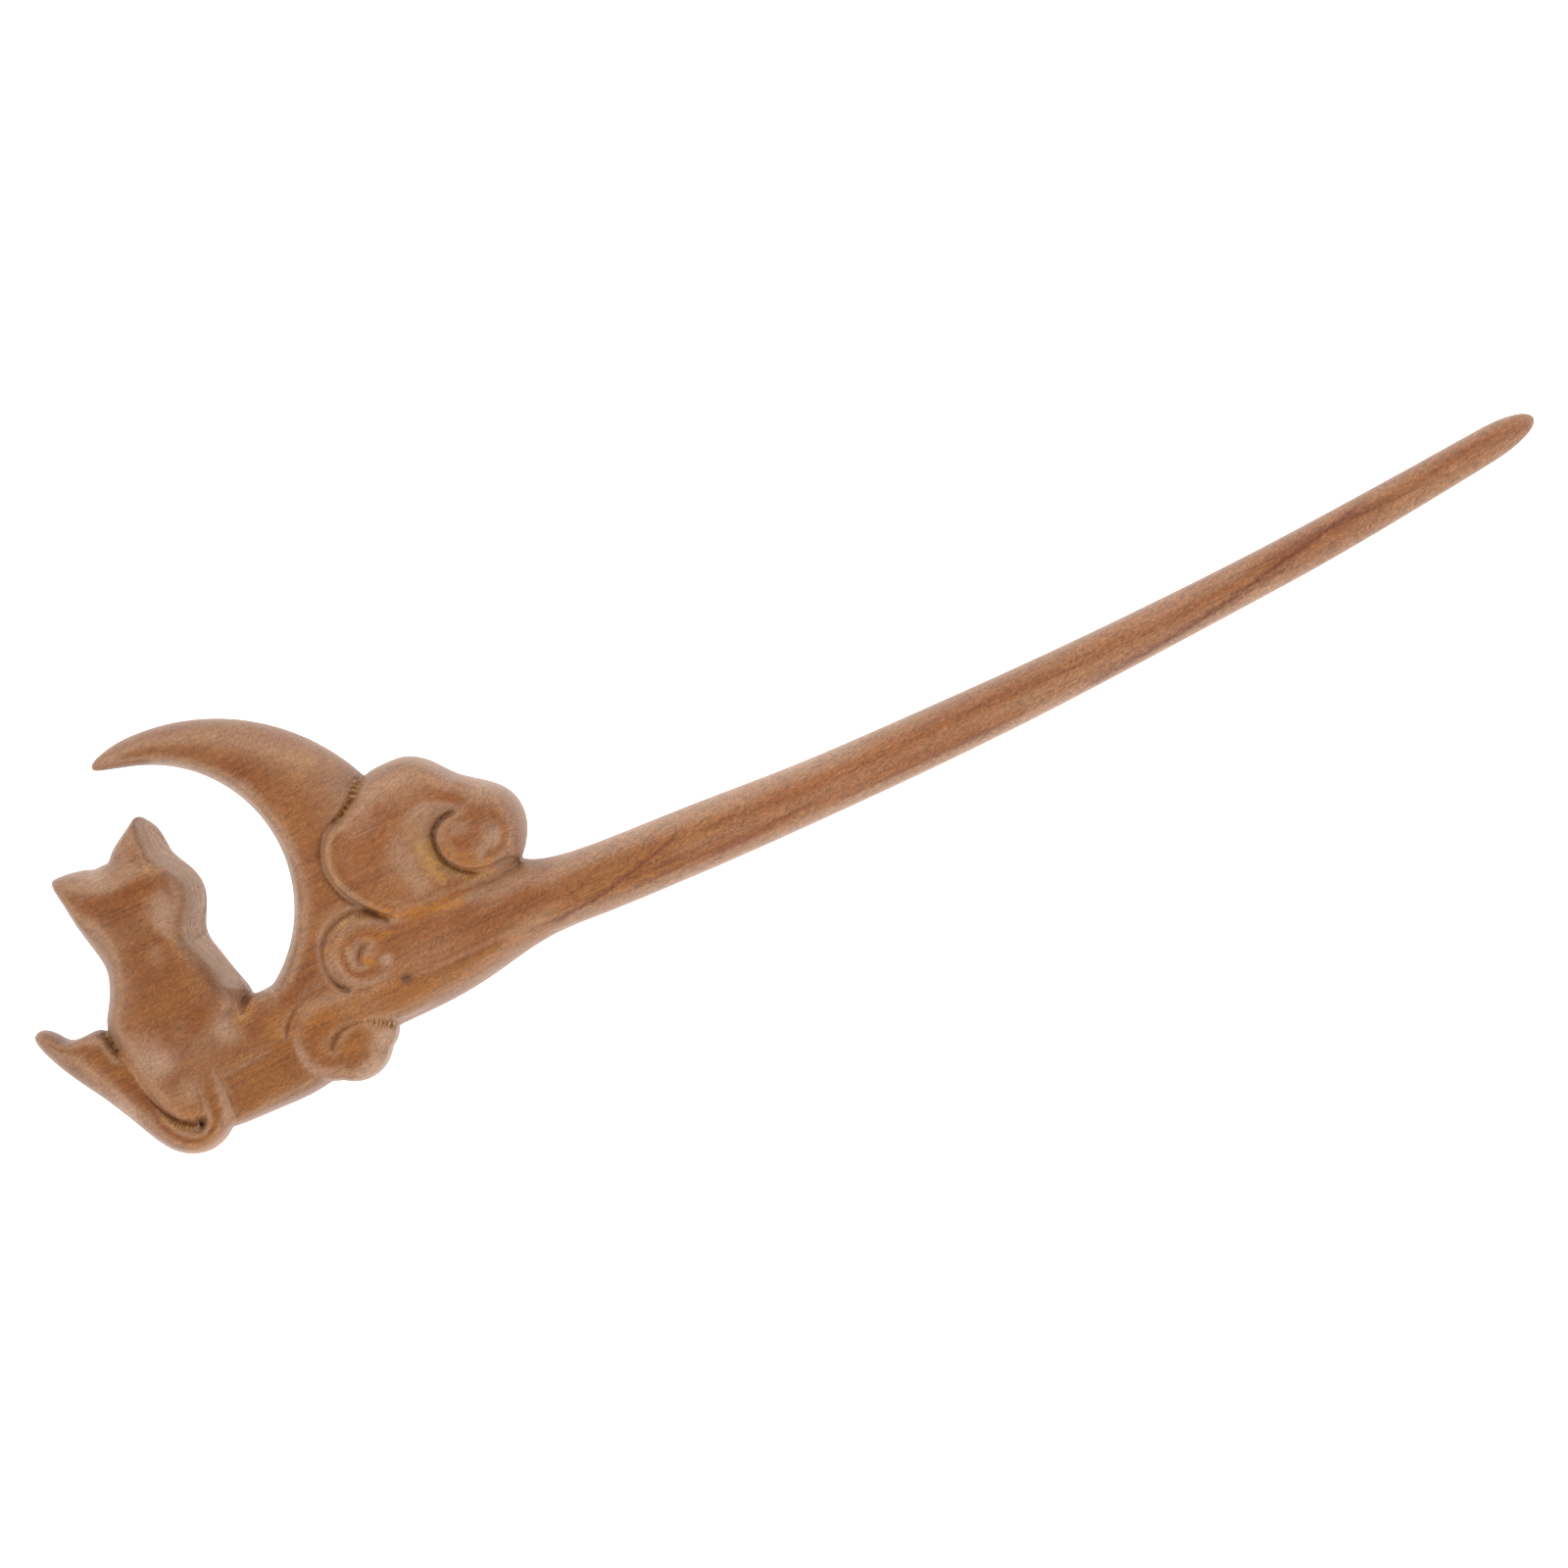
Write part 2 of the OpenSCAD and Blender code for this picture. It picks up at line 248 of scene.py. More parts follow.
def shaft_ribs(sides=24):
    shoulder = POINT_X - POINT_L
    places = list(SHAFT[:-1, 0]) + [shoulder]
    places += [shoulder + POINT_L * math.sin(q) for q in np.radians([20, 38, 52, 64, 74, 82, 87])]
    turns = [squarer(2 * math.pi * k / sides) for k in range(sides)]
    ribs = []
    for x in places:
        close = math.sqrt(max(1e-4, 1 - max(0, (x - shoulder) / POINT_L) ** 2))
        up, low = (np.interp(x, SHAFT[:, 0], SHAFT[:, k]) * close for k in (1, 2))
        tall = np.interp(x, (-36, shoulder), (3.65, 1.85)) * close
        ribs.append([(x, bow(x) + (up if c > 0 else low) * c, WAIST + tall * s) for c, s in turns])
    return ribs

# %% Make the neck and the shaft
form("neck", [rib((x, up), (x, low), crown, a, b, max(0, 0.1 * (x - BACK_LIFTS_AT)))
              for x, up, low, crown, a, b in NECK])
form("shaft", shaft_ribs())

# %% [markdown]
# ## The seated cat
# Seen from behind and turned a little, it is a haunch, a torso that narrows to the neck, and a head with two
# ears. Its ribs run up the board. The side towards the moon is a steep face left by the saw and the file, and
# the other side is rounded more softly. The right ear ends in a ridge, so its two shoulders meet.

# %% Cat
CAT = [
    # y, left edge, right edge, crown, left reach, right reach
    (-19.2, -78.4, -76.2, 7.8, 0.7, 0.9),
    (-17.5, -79.6, -75.2, 8.5, 0.8, 1.6),
    (-15.0, -80.6, -71.8, 8.8, 1.2, 3.5),
    (-12.4, -81.35, -67.8, 9.2, 2.4, 5.6),
    (-10.4, -81.75, -66.4, 9.4, 3.4, 4.4),
    (-8.6, -82.05, -65.7, 9.3, 3.4, 2.8),
    (-7.0, -82.1, -66.1, 9.1, 2.8, 2.4),
    (-5.0, -82.0, -66.7, 8.9, 2.2, 2.4),
    (-3.0, -80.45, -67.08, 8.8, 2.2, 2.3),
    (-1.0, -79.6, -67.66, 8.6, 2.2, 2.2),
    (0.5, -79.25, -67.4, 8.5, 2.4, 2.3),
    (2.0, -79.46, -66.44, 8.7, 2.0, 2.4),
    (4.5, -79.97, -65.42, 9.2, 1.5, 2.3),
    (7.0, -80.3, -66.1, 9.4, 1.2, 2.2),
    (8.6, -80.5, -67.2, 9.3, 1.1, 2.2),
    (10.2, -80.6, -67.4, 8.6, 1.1, 2.2),
    (11.2, -78.0, -72.0, 6.2, 1.6, 2.0),
]

# %% Ears
LEFT_EAR = [
    (7.6, -80.38, -74.0, 9.3, 1.0, 3.0),
    (9.4, -80.64, -74.6, 9.1, 0.9, 3.0),
    (10.6, -80.84, -75.3, 8.7, 0.8, 3.0),
    (11.3, -80.88, -76.2, 8.1, 0.7, 3.0),
    (11.75, -80.8, -77.6, 7.4, 0.6, 2.4),
    (12.0, -80.55, -79.4, 6.4, 0.4, 0.6),
]
RIGHT_EAR = [
    (8.0, -75.6, -67.0, 9.0, 4.8, 2.2),
    (9.6, -75.0, -67.36, 8.8, 4.4, 2.3),
    (11.0, -74.3, -67.4, 8.5, 2.4, 2.3),
    (12.0, -73.4, -67.5, 8.2, 1.8, 2.2),
    (12.9, -72.1, -67.8, 7.8, 1.4, 1.8),
    (13.7, -70.6, -68.35, 7.2, 0.9, 1.1),
    (14.5, -69.55, -68.95, 6.2, 0.3, 0.3),
]

# %% Make the cat
def rising(rows, dome=0.25, straight=1.0):
    return [rib((left, y), (right, y), crown, a, b, dome=dome, straight=straight)
            for y, left, right, crown, a, b in rows]


form("cat", rising(CAT, 0.3, 1.5))
form("left ear", rising(LEFT_EAR, 0.0))
form("right ear", rising(RIGHT_EAR, 0.0, 1.5))

# %% [markdown]
# ## The tail
# It starts as a blunt finger that stands off to the left, runs down beside the haunch as a broad flat band,
# and curls up again in front of it. Its ribs reach from the outline to the deep groove beside the body.

# %% Tail
TAIL = [
    # outline side x, y, groove side x, y, crown, outline reach, groove reach
    (-89.75, -2.75, -89.0, -2.4, 5.2, 0.4, 0.4),
    (-90.0, -3.3, -87.75, -3.15, 6.0, 1.1, 1.1),
    (-89.8, -4.3, -87.0, -4.25, 6.5, 1.4, 1.4),
    (-89.42, -5.5, -86.2, -5.3, 6.8, 1.8, 1.4),
    (-88.8, -6.95, -83.9, -5.12, 7.0, 2.8, 1.7),
    (-87.95, -8.6, -82.2, -5.15, 7.2, 3.4, 1.2),
    (-86.85, -10.5, -81.8, -7.8, 7.3, 3.0, 0.9),
    (-85.7, -12.3, -81.4, -10.4, 7.3, 2.6, 0.8),
    (-84.65, -14.3, -80.9, -13.2, 7.3, 2.1, 0.8),
    (-83.6, -16.3, -80.2, -15.4, 7.5, 1.8, 0.8),
    (-82.65, -18.35, -79.3, -17.4, 7.8, 1.5, 0.8),
    (-81.4, -20.6, -78.4, -18.9, 8.0, 1.3, 0.8),
    (-79.7, -22.1, -77.5, -19.7, 8.2, 1.2, 0.8),
    (-77.4, -22.8, -76.9, -19.9, 8.3, 1.2, 0.8),
    (-75.2, -22.2, -76.2, -19.3, 8.4, 1.2, 0.8),
    (-73.4, -20.9, -75.9, -18.2, 8.4, 1.0, 0.8),
    (-72.9, -18.6, -75.8, -17.0, 8.5, 0.5, 0.8),
    (-72.8, -16.6, -75.8, -15.6, 8.6, 0.5, 0.8),
    (-72.9, -14.2, -75.4, -13.9, 8.6, 0.5, 0.8),
]
form("tail", [rib((x, y), (u, v), crown, a, b) for x, y, u, v, crown, a, b in TAIL])

# %% [markdown]
# ## The cloud and the scrolls
# The top cloud is one mass whose left edge is undercut by the gouge and whose right edge is the outline, so
# it is made of rising ribs like the cat. Each scroll is a low round loaf. Its ribs are rings that lie flat,
# one above the other, so the same helper makes it.

# %% Cloud
CLOUD = [
    # y, left edge, right edge, crown, left reach, right reach
    (8.25, -43.9, -39.9, 6.2, 1.4, 1.6),
    (7.5, -45.0, -38.25, 7.6, 1.6, 2.2),
    (6.2, -46.2, -36.8, 8.6, 1.4, 2.6),
    (4.8, -48.3, -35.85, 9.0, 1.3, 2.6),
    (3.4, -51.0, -34.7, 9.1, 1.1, 2.8),
    (2.0, -52.2, -32.66, 9.1, 0.9, 3.0),
    (0.0, -52.8, -30.42, 9.1, 0.8, 3.0),
    (-2.5, -52.4, -29.88, 9.1, 0.8, 3.0),
    (-4.5, -51.3, -30.25, 9.0, 0.9, 2.8),
    (-6.0, -49.8, -31.06, 8.9, 1.1, 2.6),
    (-7.3, -48.3, -32.0, 8.7, 1.8, 2.0),
    (-8.5, -46.2, -33.4, 8.0, 1.8, 1.8),
]
form("cloud", rising(CLOUD, 0.5))

# %% Scrolls
SCROLLS = {
    # x, y, radius along, radius across, crown
    "middle scroll": (-52.0, -10.1, 4.8, 4.8, 8.6),
    "lower scroll": (-59.2, -17.0, 5.6, 5.0, 8.3),
    "ball": (-57.9, -18.75, 4.15, 4.1, 8.2),
    "ball shoulder": (-55.35, -18.1, 2.8, 2.8, 7.7),
}
FULLNESS = 4.6


def loaf(x, y, along, across, crown, sides=20):
    turns = [2 * math.pi * k / sides for k in range(sides)]
    rings = [(0.8, 0.0), (0.94, 0.8), (0.995, 2.4), (1.0, WAIST)]
    for share in (0.96, 0.88, 0.74, 0.55, 0.3, 0.08):
        rings.append((share, WAIST + (crown - WAIST) * (1 - share ** FULLNESS) ** (1 / FULLNESS)))
    return [[(x + along * r * math.cos(a), y + across * r * math.sin(a), z) for a in turns] for r, z in rings]


for name, sizes in SCROLLS.items():
    form(name, loaf(*sizes))

# %% [markdown]
# ## One piece of wood
# The forms are joined and fused with a voxel remesh, because the real thing has no seams: it leaves one
# closed skin with even faces, which is what the gouge strokes need next.

# %% Fuse
CLAY = 0.165


def fuse(name, grain):
    nothing_selected()
    for piece in forms:
        piece.select_set(True)
    bpy.context.view_layer.objects.active = forms[0]
    bpy.ops.object.join()
    piece = bpy.context.object
    piece.name = piece.data.name = name
    remesh = piece.modifiers.new("Fuse", "REMESH")
    remesh.mode = "VOXEL"
    remesh.voxel_size = grain
    bpy.ops.object.modifier_apply(modifier=remesh.name)
    return piece


stick = fuse("carved_hair_stick", CLAY)
print("fused:", len(stick.data.vertices), "points,", round(time.time() - STARTED, 1), "s")

# %% [markdown]
# ## Brushes
# The fine carving is done the way a sculptor works on a dense mesh: with brushes that push its points up or
# down. A gouge stroke follows a smooth line through a few places read from the carving, and its two sides may
# have different widths, steep against a form and shallow away from it. A swell or a dip is one soft dab. The
# brushes only reach the upper side, so the walls and the back keep their shape.

# %% Reading and writing the skin
def read_points(piece):
    points = np.empty(len(piece.data.vertices) * 3)
    piece.data.vertices.foreach_get("co", points)
    return points.reshape(-1, 3)


def write_points(piece, points):
    piece.data.vertices.foreach_set("co", np.ascontiguousarray(points).ravel())
    piece.data.update()


def read_edges(piece):
    pairs = np.empty(len(piece.data.edges) * 2, dtype=np.int64)
    piece.data.edges.foreach_get("vertices", pairs)
    return pairs.reshape(-1, 2)

# %% Evening values over the skin
def evened(values, edges, times, amount=0.7):
    """The values of all points, moved again and again towards the mean of their neighbours."""
    a, b = edges.T
    n = len(values)
    count = np.maximum(np.bincount(a, minlength=n) + np.bincount(b, minlength=n), 1)
    for _ in range(times):
        means = [(np.bincount(a, column[b], n) + np.bincount(b, column[a], n)) / count for column in values.T]
        values = values + amount * (np.stack(means, 1) - values)
    return values


def ease(t):
    t = np.clip(t, 0, 1)
    return t * t * (3 - 2 * t)


def upper(points):
    """1 on the carved side, and 0 below the waist, where no brush reaches."""
    return ease((points[:, 2] - WAIST + 0.3) / 1.5)

# %% A smooth line through places
def smooth_line(places, step=0.12):
    """Dense points of a curve that runs through the places."""
    p = np.array(places, float)
    p = np.vstack([2 * p[0] - p[1], p, 2 * p[-1] - p[-2]])
    line = []
    for a, b, c, d in zip(p, p[1:], p[2:], p[3:]):
        n = max(2, int(np.linalg.norm(c - b) / step))
        for t in np.arange(n)[:, None] / n:
            line.append((0.5 * (2 * b + (c - a) * t + (2 * a - 5 * b + 4 * c - d) * t ** 2
                                + (3 * b - a - 3 * c + d) * t ** 3)))
    return np.vstack([line, p[-2]])

# %% The points near a line
def near_line(points, line, reach, lowest=WAIST - 0.4):
    """Which points lie within reach of the line, how far off (plus is on its left), and how far along it."""
    low, high = line.min(0) - reach, line.max(0) + reach
    xy = points[:, :2]
    found = np.nonzero(((xy > low) & (xy < high)).all(1) & (points[:, 2] > lowest))[0]
    a, b = line[:-1], line[1:]
    along = b - a
    long = np.linalg.norm(along, axis=1)
    off = xy[found][:, None] - a[None]
    t = np.clip((off * along).sum(2) / long ** 2, 0, 1)
    gap = off - t[..., None] * along
    far = np.linalg.norm(gap, axis=2)
    best = far.argmin(1)
    row = np.arange(len(found))
    side = np.sign(along[best, 0] * off[row, best, 1] - along[best, 1] * off[row, best, 0])
    run = np.concatenate([[0], np.cumsum(long)])[best] + t[row, best] * long[best]
    keep = far[row, best] < reach
    return found[keep], (far[row, best] * side)[keep], run[keep], long.sum()

# %% Changes along a line
def run_of(values, share):
    """A value that changes evenly along the stroke, from a single number or a few."""
    values = np.atleast_1d(values).astype(float)
    return np.interp(share, np.linspace(0, 1, len(values)), values)


def at_ends(run, total, fade):
    """0 at the two ends of a line, and 1 once the two fade lengths are passed."""
    return ease((run + 0.02) / fade[0]) * ease((total - run + 0.02) / fade[1])

# %% Gouge
def gouge(points, places, depth, left, right, fade=(1.0, 1.0), sharp=1.6):
    """Cuts along the line, or raises with a negative depth. Each of its two sides has its own width."""
    line = smooth_line(places)
    found, off, run, total = near_line(points, line, max(np.max(left), np.max(right)))
    share = run / total
    width = np.where(off > 0, run_of(left, share), run_of(right, share))
    keen = np.where(off > 0, np.atleast_1d(sharp)[0], np.atleast_1d(sharp)[-1])
    shape = np.clip(1 - np.abs(off) / width, 0, 1) ** keen
    ends = at_ends(run, total, fade)
    points[found, 2] -= run_of(depth, share) * shape * ends * upper(points[found])

# %% Dabs and soft masks
def oval(points, x, y, along, across, turn):
    """How far out each point lies, squared: 0 in the middle of a turned oval, and 1 on its rim."""
    c, s = math.cos(math.radians(turn)), math.sin(math.radians(turn))
    dx, dy = points[:, 0] - x, points[:, 1] - y
    return ((dx * c + dy * s) / along) ** 2 + ((dy * c - dx * s) / across) ** 2


def dab(points, x, y, along, across, height, turn=0.0):
    """One soft swell, or a dip with a negative height, over an oval turned by some degrees."""
    points[:, 2] += height * np.clip(1 - oval(points, x, y, along, across, turn), 0, 1) ** 2 * upper(points)


def within(points, x, y, along, across, turn=0.0, soft=0.5):
    """1 inside an oval, and 0 outside it, with a soft rim."""
    return ease((1 - np.sqrt(oval(points, x, y, along, across, turn))) / soft)


def beside(points, places, width, soft=0.5):
    """1 close to the line, and 0 further off than its width."""
    mask = np.zeros(len(points))
    found, off, run, total = near_line(points, smooth_line(places), width)
    mask[found] = ease((1 - np.abs(off) / width) / soft)
    return mask

# %% Paring down to a plane
def pare(points, start, end, level, slope, where, least=0.0, soft=0.15):
    """Pares the wood down to a plane that lies at level on the line start-end and sinks to its left."""
    start, end = np.array(start, float), np.array(end, float)
    along = (end - start) / np.linalg.norm(end - start)
    left = np.array([-along[1], along[0]])
    plane = np.maximum(level - slope * ((points[:, :2] - start) @ left), least)
    gap = points[:, 2] - plane
    cut = 0.5 * (gap + np.sqrt(gap ** 2 + soft ** 2)) - 0.5 * soft
    points[:, 2] -= np.clip(cut, 0, None) * where * upper(points)

# %% Filling up to a bank
def heap(points, places, level, width, drop, fade=(1.5, 1.5), soft=0.35):
    """Fills the wood up to a round-backed bank along the line, where it lies lower than that."""
    found, off, run, total = near_line(points, smooth_line(places), width)
    gap = run_of(level, run / total) - drop * (off / width) ** 2 - points[found, 2]
    rise = 0.5 * (gap + np.sqrt(gap ** 2 + soft ** 2)) - 0.5 * soft
    edge = ease((width - np.abs(off)) / (0.3 * width))
    points[found, 2] += np.clip(rise, 0, None) * at_ends(run, total, fade) * edge * upper(points[found])

# %% Filing a side face
def bevel(points, places, width, fade=(0.4, 0.4), step=0.5):
    """Files a leaning side face from the line to the outline on its left. The line itself stays crisp."""
    found, off, run, total = near_line(points, smooth_line(places), width)
    height = points[found, 2]
    slot = (run / step).astype(int)
    rim = (off < -0.05) & (off > -0.5) & (height > WAIST + 1)
    count = np.bincount(slot[rim], minlength=slot.max() + 1)
    level = np.bincount(slot[rim], height[rim], minlength=slot.max() + 1)
    good = np.nonzero(count)[0]
    edge = np.interp(run, (good + 0.5) * step, level[good] / count[good])
    far = np.zeros(slot.max() + 1)
    np.maximum.at(far, slot, off)
    far = np.convolve(np.pad(far, 1, mode="edge"), [0.25, 0.5, 0.25], "valid")
    reach = np.interp(run, (np.arange(len(far)) + 0.5) * step, far)
    face = edge - (edge - WAIST - 0.25) * np.clip(off / reach, 0, 1)
    amount = np.where(off > 0, 1, 0) * at_ends(run, total, fade) * ease((height - WAIST - 0.1) / 0.8)
    points[found, 2] += (face - height) * amount

# %% Rubbing one place
def soften(points, where, times):
    """Rubs one place only: evens out the heights where the mask is 1."""
    spot = np.nonzero(where > 0)[0]
    place = np.full(len(points), -1)
    place[spot] = np.arange(len(spot))
    edges = place[SKIN]
    edges = edges[(edges >= 0).all(1)]
    amount = 0.7 * where[spot] * upper(points[spot])
    points[spot, 2] = evened(points[spot, 2:], edges, times, amount[:, None])[:, 0]

# %% Short cuts across a line
def notches(points, places, pitch, depth, half, seed=3):
    """A row of short cuts across the line, as a file or a small chisel leaves them."""
    found, off, run, total = near_line(points, smooth_line(places), half)
    jitter = np.random.default_rng(seed).uniform(-0.12, 0.12, int(total / pitch) + 3)
    at = run / pitch
    at = at + jitter[at.astype(int)]
    wave = (0.5 + 0.5 * np.cos(2 * np.pi * at)) ** 1.5
    ends = ease(run / 0.4) * ease((total - run) / 0.4)
    points[found, 2] -= depth * wave * ends * ease((1 - np.abs(off) / half) / 0.7) * upper(points[found])

# %% Sandpaper
def rub(piece, times, factor=0.5):
    """Sandpaper: evens the whole skin out a little."""
    smooth = piece.modifiers.new("Rub", "SMOOTH")
    smooth.iterations = times
    smooth.factor = factor
    nothing_selected()
    bpy.context.view_layer.objects.active = piece
    bpy.ops.object.modifier_apply(modifier=smooth.name)


rub(stick, 3)
points = read_points(stick)
SKIN = read_edges(stick)

# %% [markdown]
# ## Carving the cat and its tail
# Seen from behind, the cat has no face. What shows is the slope between its ears, the ridge of the right ear,
# the cheek that falls away to a filed side wall, the haunches, and the groove that parts them from the tail.

# %% Lines that bound the cat
SIDE_LINE = [(-69.15, 14.4), (-69.6, 13.2), (-69.75, 12.0), (-69.75, 10.2), (-69.5, 9.2), (-68.9, 8.2),
             (-68.1, 7.0), (-67.5, 5.9), (-67.4, 4.8), (-67.8, 3.7), (-68.6, 2.6), (-69.5, 1.5), (-69.9, 0.3),
             (-69.9, -0.9), (-69.2, -2.3), (-68.6, -3.8), (-68.3, -5.2), (-68.1, -6.4), (-67.5, -7.3),
             (-66.2, -8.1)]
TAIL_GROOVE = [(-82.5, -5.0), (-82.3, -6.6), (-82.0, -8.2), (-81.6, -10.0), (-81.3, -12.0), (-80.8, -14.0),
               (-80.2, -15.7), (-79.5, -17.2), (-78.6, -18.3), (-77.6, -19.1), (-76.9, -19.2)]

# %% Ground in front of the haunch
heap(points, [(-75.6, -15.0), (-73.0, -13.6), (-69.6, -12.6), (-66.0, -11.6), (-62.5, -11.2)],
     [9.0, 9.0, 8.7, 8.2, 7.9], 4.2, 0.6)
heap(points, [(-75.0, -17.4), (-71.0, -17.4), (-66.0, -17.0), (-61.0, -16.6)], [8.3, 8.2, 7.9, 7.7],
     4.4, 0.4, (0.4, 3))
soften(points, within(points, -70.2, -13.6, 6.6, 4.2, 12, 0.6), 350)

# %% Haunch and flank
pare(points, (-76.4, -15.5), (-76.4, -5.0), 9.25, 0.38, within(points, -78.9, -10.2, 3.4, 3.6, 0, 0.8),
     0.0, 0.7)
pare(points, (-69.6, -9.4), (-72.2, -12.2), 9.2, 0.42, within(points, -70.0, -11.2, 2.3, 1.8, -20, 0.9),
     8.2, 0.5)
soften(points, within(points, -70.3, -11.8, 4.5, 3.4, -40, 0.7), 40)
soften(points, within(points, -78.0, -10.2, 3.6, 5.2, 0, 0.7), 110)
dab(points, -79.3, 2.8, 2.6, 4.4, -0.55)

# %% Slopes between the ears
pare(points, (-80.3, 10.3), (-74.2, 8.3), 9.15, 0.7, within(points, -77.0, 11.0, 5.8, 4.4, -20, 0.8),
     0.0, 0.4)
pare(points, (-74.2, 8.0), (-69.2, 10.0), 9.15, 0.32, within(points, -71.6, 11.4, 4.8, 4.2, 40, 0.6),
     0.0, 0.4)
soften(points, within(points, -74.6, 10.0, 2.6, 3.0, 20, 0.8), 120)
soften(points, within(points, -71.4, 9.8, 2.0, 1.6, 20, 0.8), 80)
gouge(points, [(-73.5, 9.4), (-72.5, 9.75), (-71.6, 9.85), (-70.9, 9.1), (-70.3, 8.5)],
      0.1, 0.2, 0.25, (0.8, 0.5), 1.0)

# %% Cheek and side wall
CHEEK_RIM = [(-69.2, 7.0), (-68.7, 6.0), (-68.5, 5.0), (-68.8, 4.0), (-69.6, 2.9), (-70.6, 2.0), (-71.8, 1.2)]
gouge(points, CHEEK_RIM, [0.0, 0.2, 0.7, 1.05, 1.05, 0.7, 0.1], 3.0, [1.4, 2.0, 2.8, 3.0, 3.0, 2.6, 2.0],
      (1.0, 1.5), (0.01, 1.2))
soften(points, within(points, -71.6, 3.6, 2.6, 4.4, -25, 0.8), 50)
bevel(points, SIDE_LINE, 3.4, (0.05, 0.1))
notches(points, [(-71.0, 0.3), (-69.8, 0.6), (-68.2, 0.6)], 0.42, 0.25, 0.7)

# %% Corner between haunch and crescent
heap(points, [(-66.4, -9.6), (-65.2, -9.6), (-63.6, -9.9)], 7.6, 1.6, 0.3, (0.3, 0.6))
soften(points, within(points, -65.4, -10.2, 2.6, 1.7, 0, 0.6), 120)
gouge(points, [(-65.6, -8.4), (-66.5, -9.0), (-67.1, -9.8), (-67.7, -10.9)], [1.5, 1.4, 0.7, 0.4],
      [0.9, 0.7, 0.4, 0.3], [1.2, 1.0, 0.5, 0.4], (0.1, 0.8), 1.1)

# %% Groove beside the tail
heap(points, TAIL_GROOVE[2:], [7.2, 7.4, 7.55, 7.65, 7.7, 7.7, 7.7], 1.4, 0.1, (1.4, 0.1), 0.2)
soften(points, beside(points, TAIL_GROOVE[3:7], 1.5), 60)
gouge(points, TAIL_GROOVE, [0.45, 0.42, 0.34, 0.16, 0.1, 0.16, 0.3, 0.45, 0.6, 0.6, 0.45],
      0.3, 0.3, (0.3, 0.3), 1.1)
gouge(points, TAIL_GROOVE[6:], 0.3, 0.35, 0.7, (2.4, 0.3), (1.0, 0.6))
gouge(points, [(-82.0, -10.5), (-81.6, -12.5), (-81.1, -14.6), (-80.6, -16.2)], 0.1, 0.3, 0.3, (1.0, 1.0))
notches(points, [(-82.6, -5.2), (-82.2, -7.2), (-81.8, -9.6)], 0.75, 0.22, 0.75)

# %% Where the tail curls up
heap(points, [(-76.3, -19.0), (-76.2, -17.6), (-76.0, -16.2), (-75.6, -14.0)], 8.4, 1.6, 0.2, (0.3, 1.0))
soften(points, within(points, -75.4, -16.4, 2.6, 3.6, 0, 0.5), 80)
gouge(points, [(-76.2, -18.6), (-75.7, -17.4), (-75.4, -16.0), (-75.3, -14.6)],
      0.14, 0.5, 0.3, (0.8, 1.4), 1.3)
gouge(points, [(-72.9, -20.6), (-72.7, -18.5), (-72.7, -16.0), (-72.9, -14.2)],
      0.28, 0.3, 0.5, (0.5, 0.8), 1.3)

# %% [markdown]
# ## Carving the cloud
# A deep line undercuts the left lobe. On the right a wide slope sinks towards the curl, and the curl stands
# up from its lowest line like a coin. Its line starts thin at the top right, where it opens out of the right
# lobe, goes round by the left, and runs out at the throat.

# %% Lines of the cloud
LOBE_LINE = [(-44.4, 8.3), (-45.2, 7.2), (-46.1, 6.1), (-47.3, 5.3), (-48.5, 4.75), (-49.7, 4.2),
             (-50.8, 3.4), (-51.6, 2.5), (-52.1, 1.3), (-52.3, -0.2), (-52.2, -1.8), (-51.7, -3.3),
             (-50.8, -4.7), (-49.8, -5.9), (-48.8, -7.0), (-47.5, -8.1), (-46.1, -8.8), (-44.6, -9.2)]
CURL_LINE = [(-35.2, -0.2), (-36.5, -0.1), (-37.6, -0.1), (-38.5, -0.25), (-39.3, -0.7), (-39.95, -1.5),
             (-40.2, -2.6), (-40.15, -3.8), (-39.7, -4.95), (-38.9, -5.9), (-37.8, -6.7), (-36.5, -7.1),
             (-35.1, -7.2), (-33.8, -7.2), (-32.5, -7.6)]

# %% Rim and foot of the cloud
heap(points, [(-48.6, 3.6), (-50.2, 3.0), (-51.2, 1.4), (-51.5, -0.2), (-51.3, -1.6), (-50.7, -3.0),
              (-49.8, -4.4), (-48.6, -5.8), (-47.2, -7.0), (-45.4, -7.9), (-43.0, -8.3)],
     9.3, 1.0, 0.2, (1.0, 4.0), 0.3)
soften(points, beside(points, [(-45.0, -8.6), (-43.0, -9.0), (-40.0, -9.2), (-37.0, -8.9), (-34.0, -8.3)],
                      2.4), 250)
gouge(points, [(-44.5, -9.3), (-42.6, -9.5), (-40.0, -9.6), (-37.0, -9.0), (-34.5, -8.4), (-32.4, -7.8)],
      [0.1, 0.2, 0.3, 0.6, 0.6, 0.3], 1.9, 2.4, (1.5, 0.6), 1.7)

# %% Curl that stands up like a coin
gouge(points, CURL_LINE, [0.1, 0.4, 0.9, 1.3, 1.5, 1.6, 1.7, 1.7, 1.6, 1.3, 1.0, 0.8, 0.7, 0.6, 0.7], 0.3,
      [0.8, 1.4, 2.2, 3.4, 5.0, 6.4, 7.2, 7.4, 6.8, 5.0, 3.4, 2.4, 2.0, 2.0, 2.0], (0.8, 0.4), (1.1, 1.35))
heap(points, [(-40.0, 0.1), (-39.0, 0.5), (-37.6, 0.45), (-36.0, 0.1)], 8.5, 0.75, 0.0, (0.5, 0.8), 0.15)
gouge(points, CURL_LINE[1:12], [0.4, 0.5, 0.6, 0.6, 0.5], 0.2, 0.45, (0.6, 1.5), (1.1, 0.8))
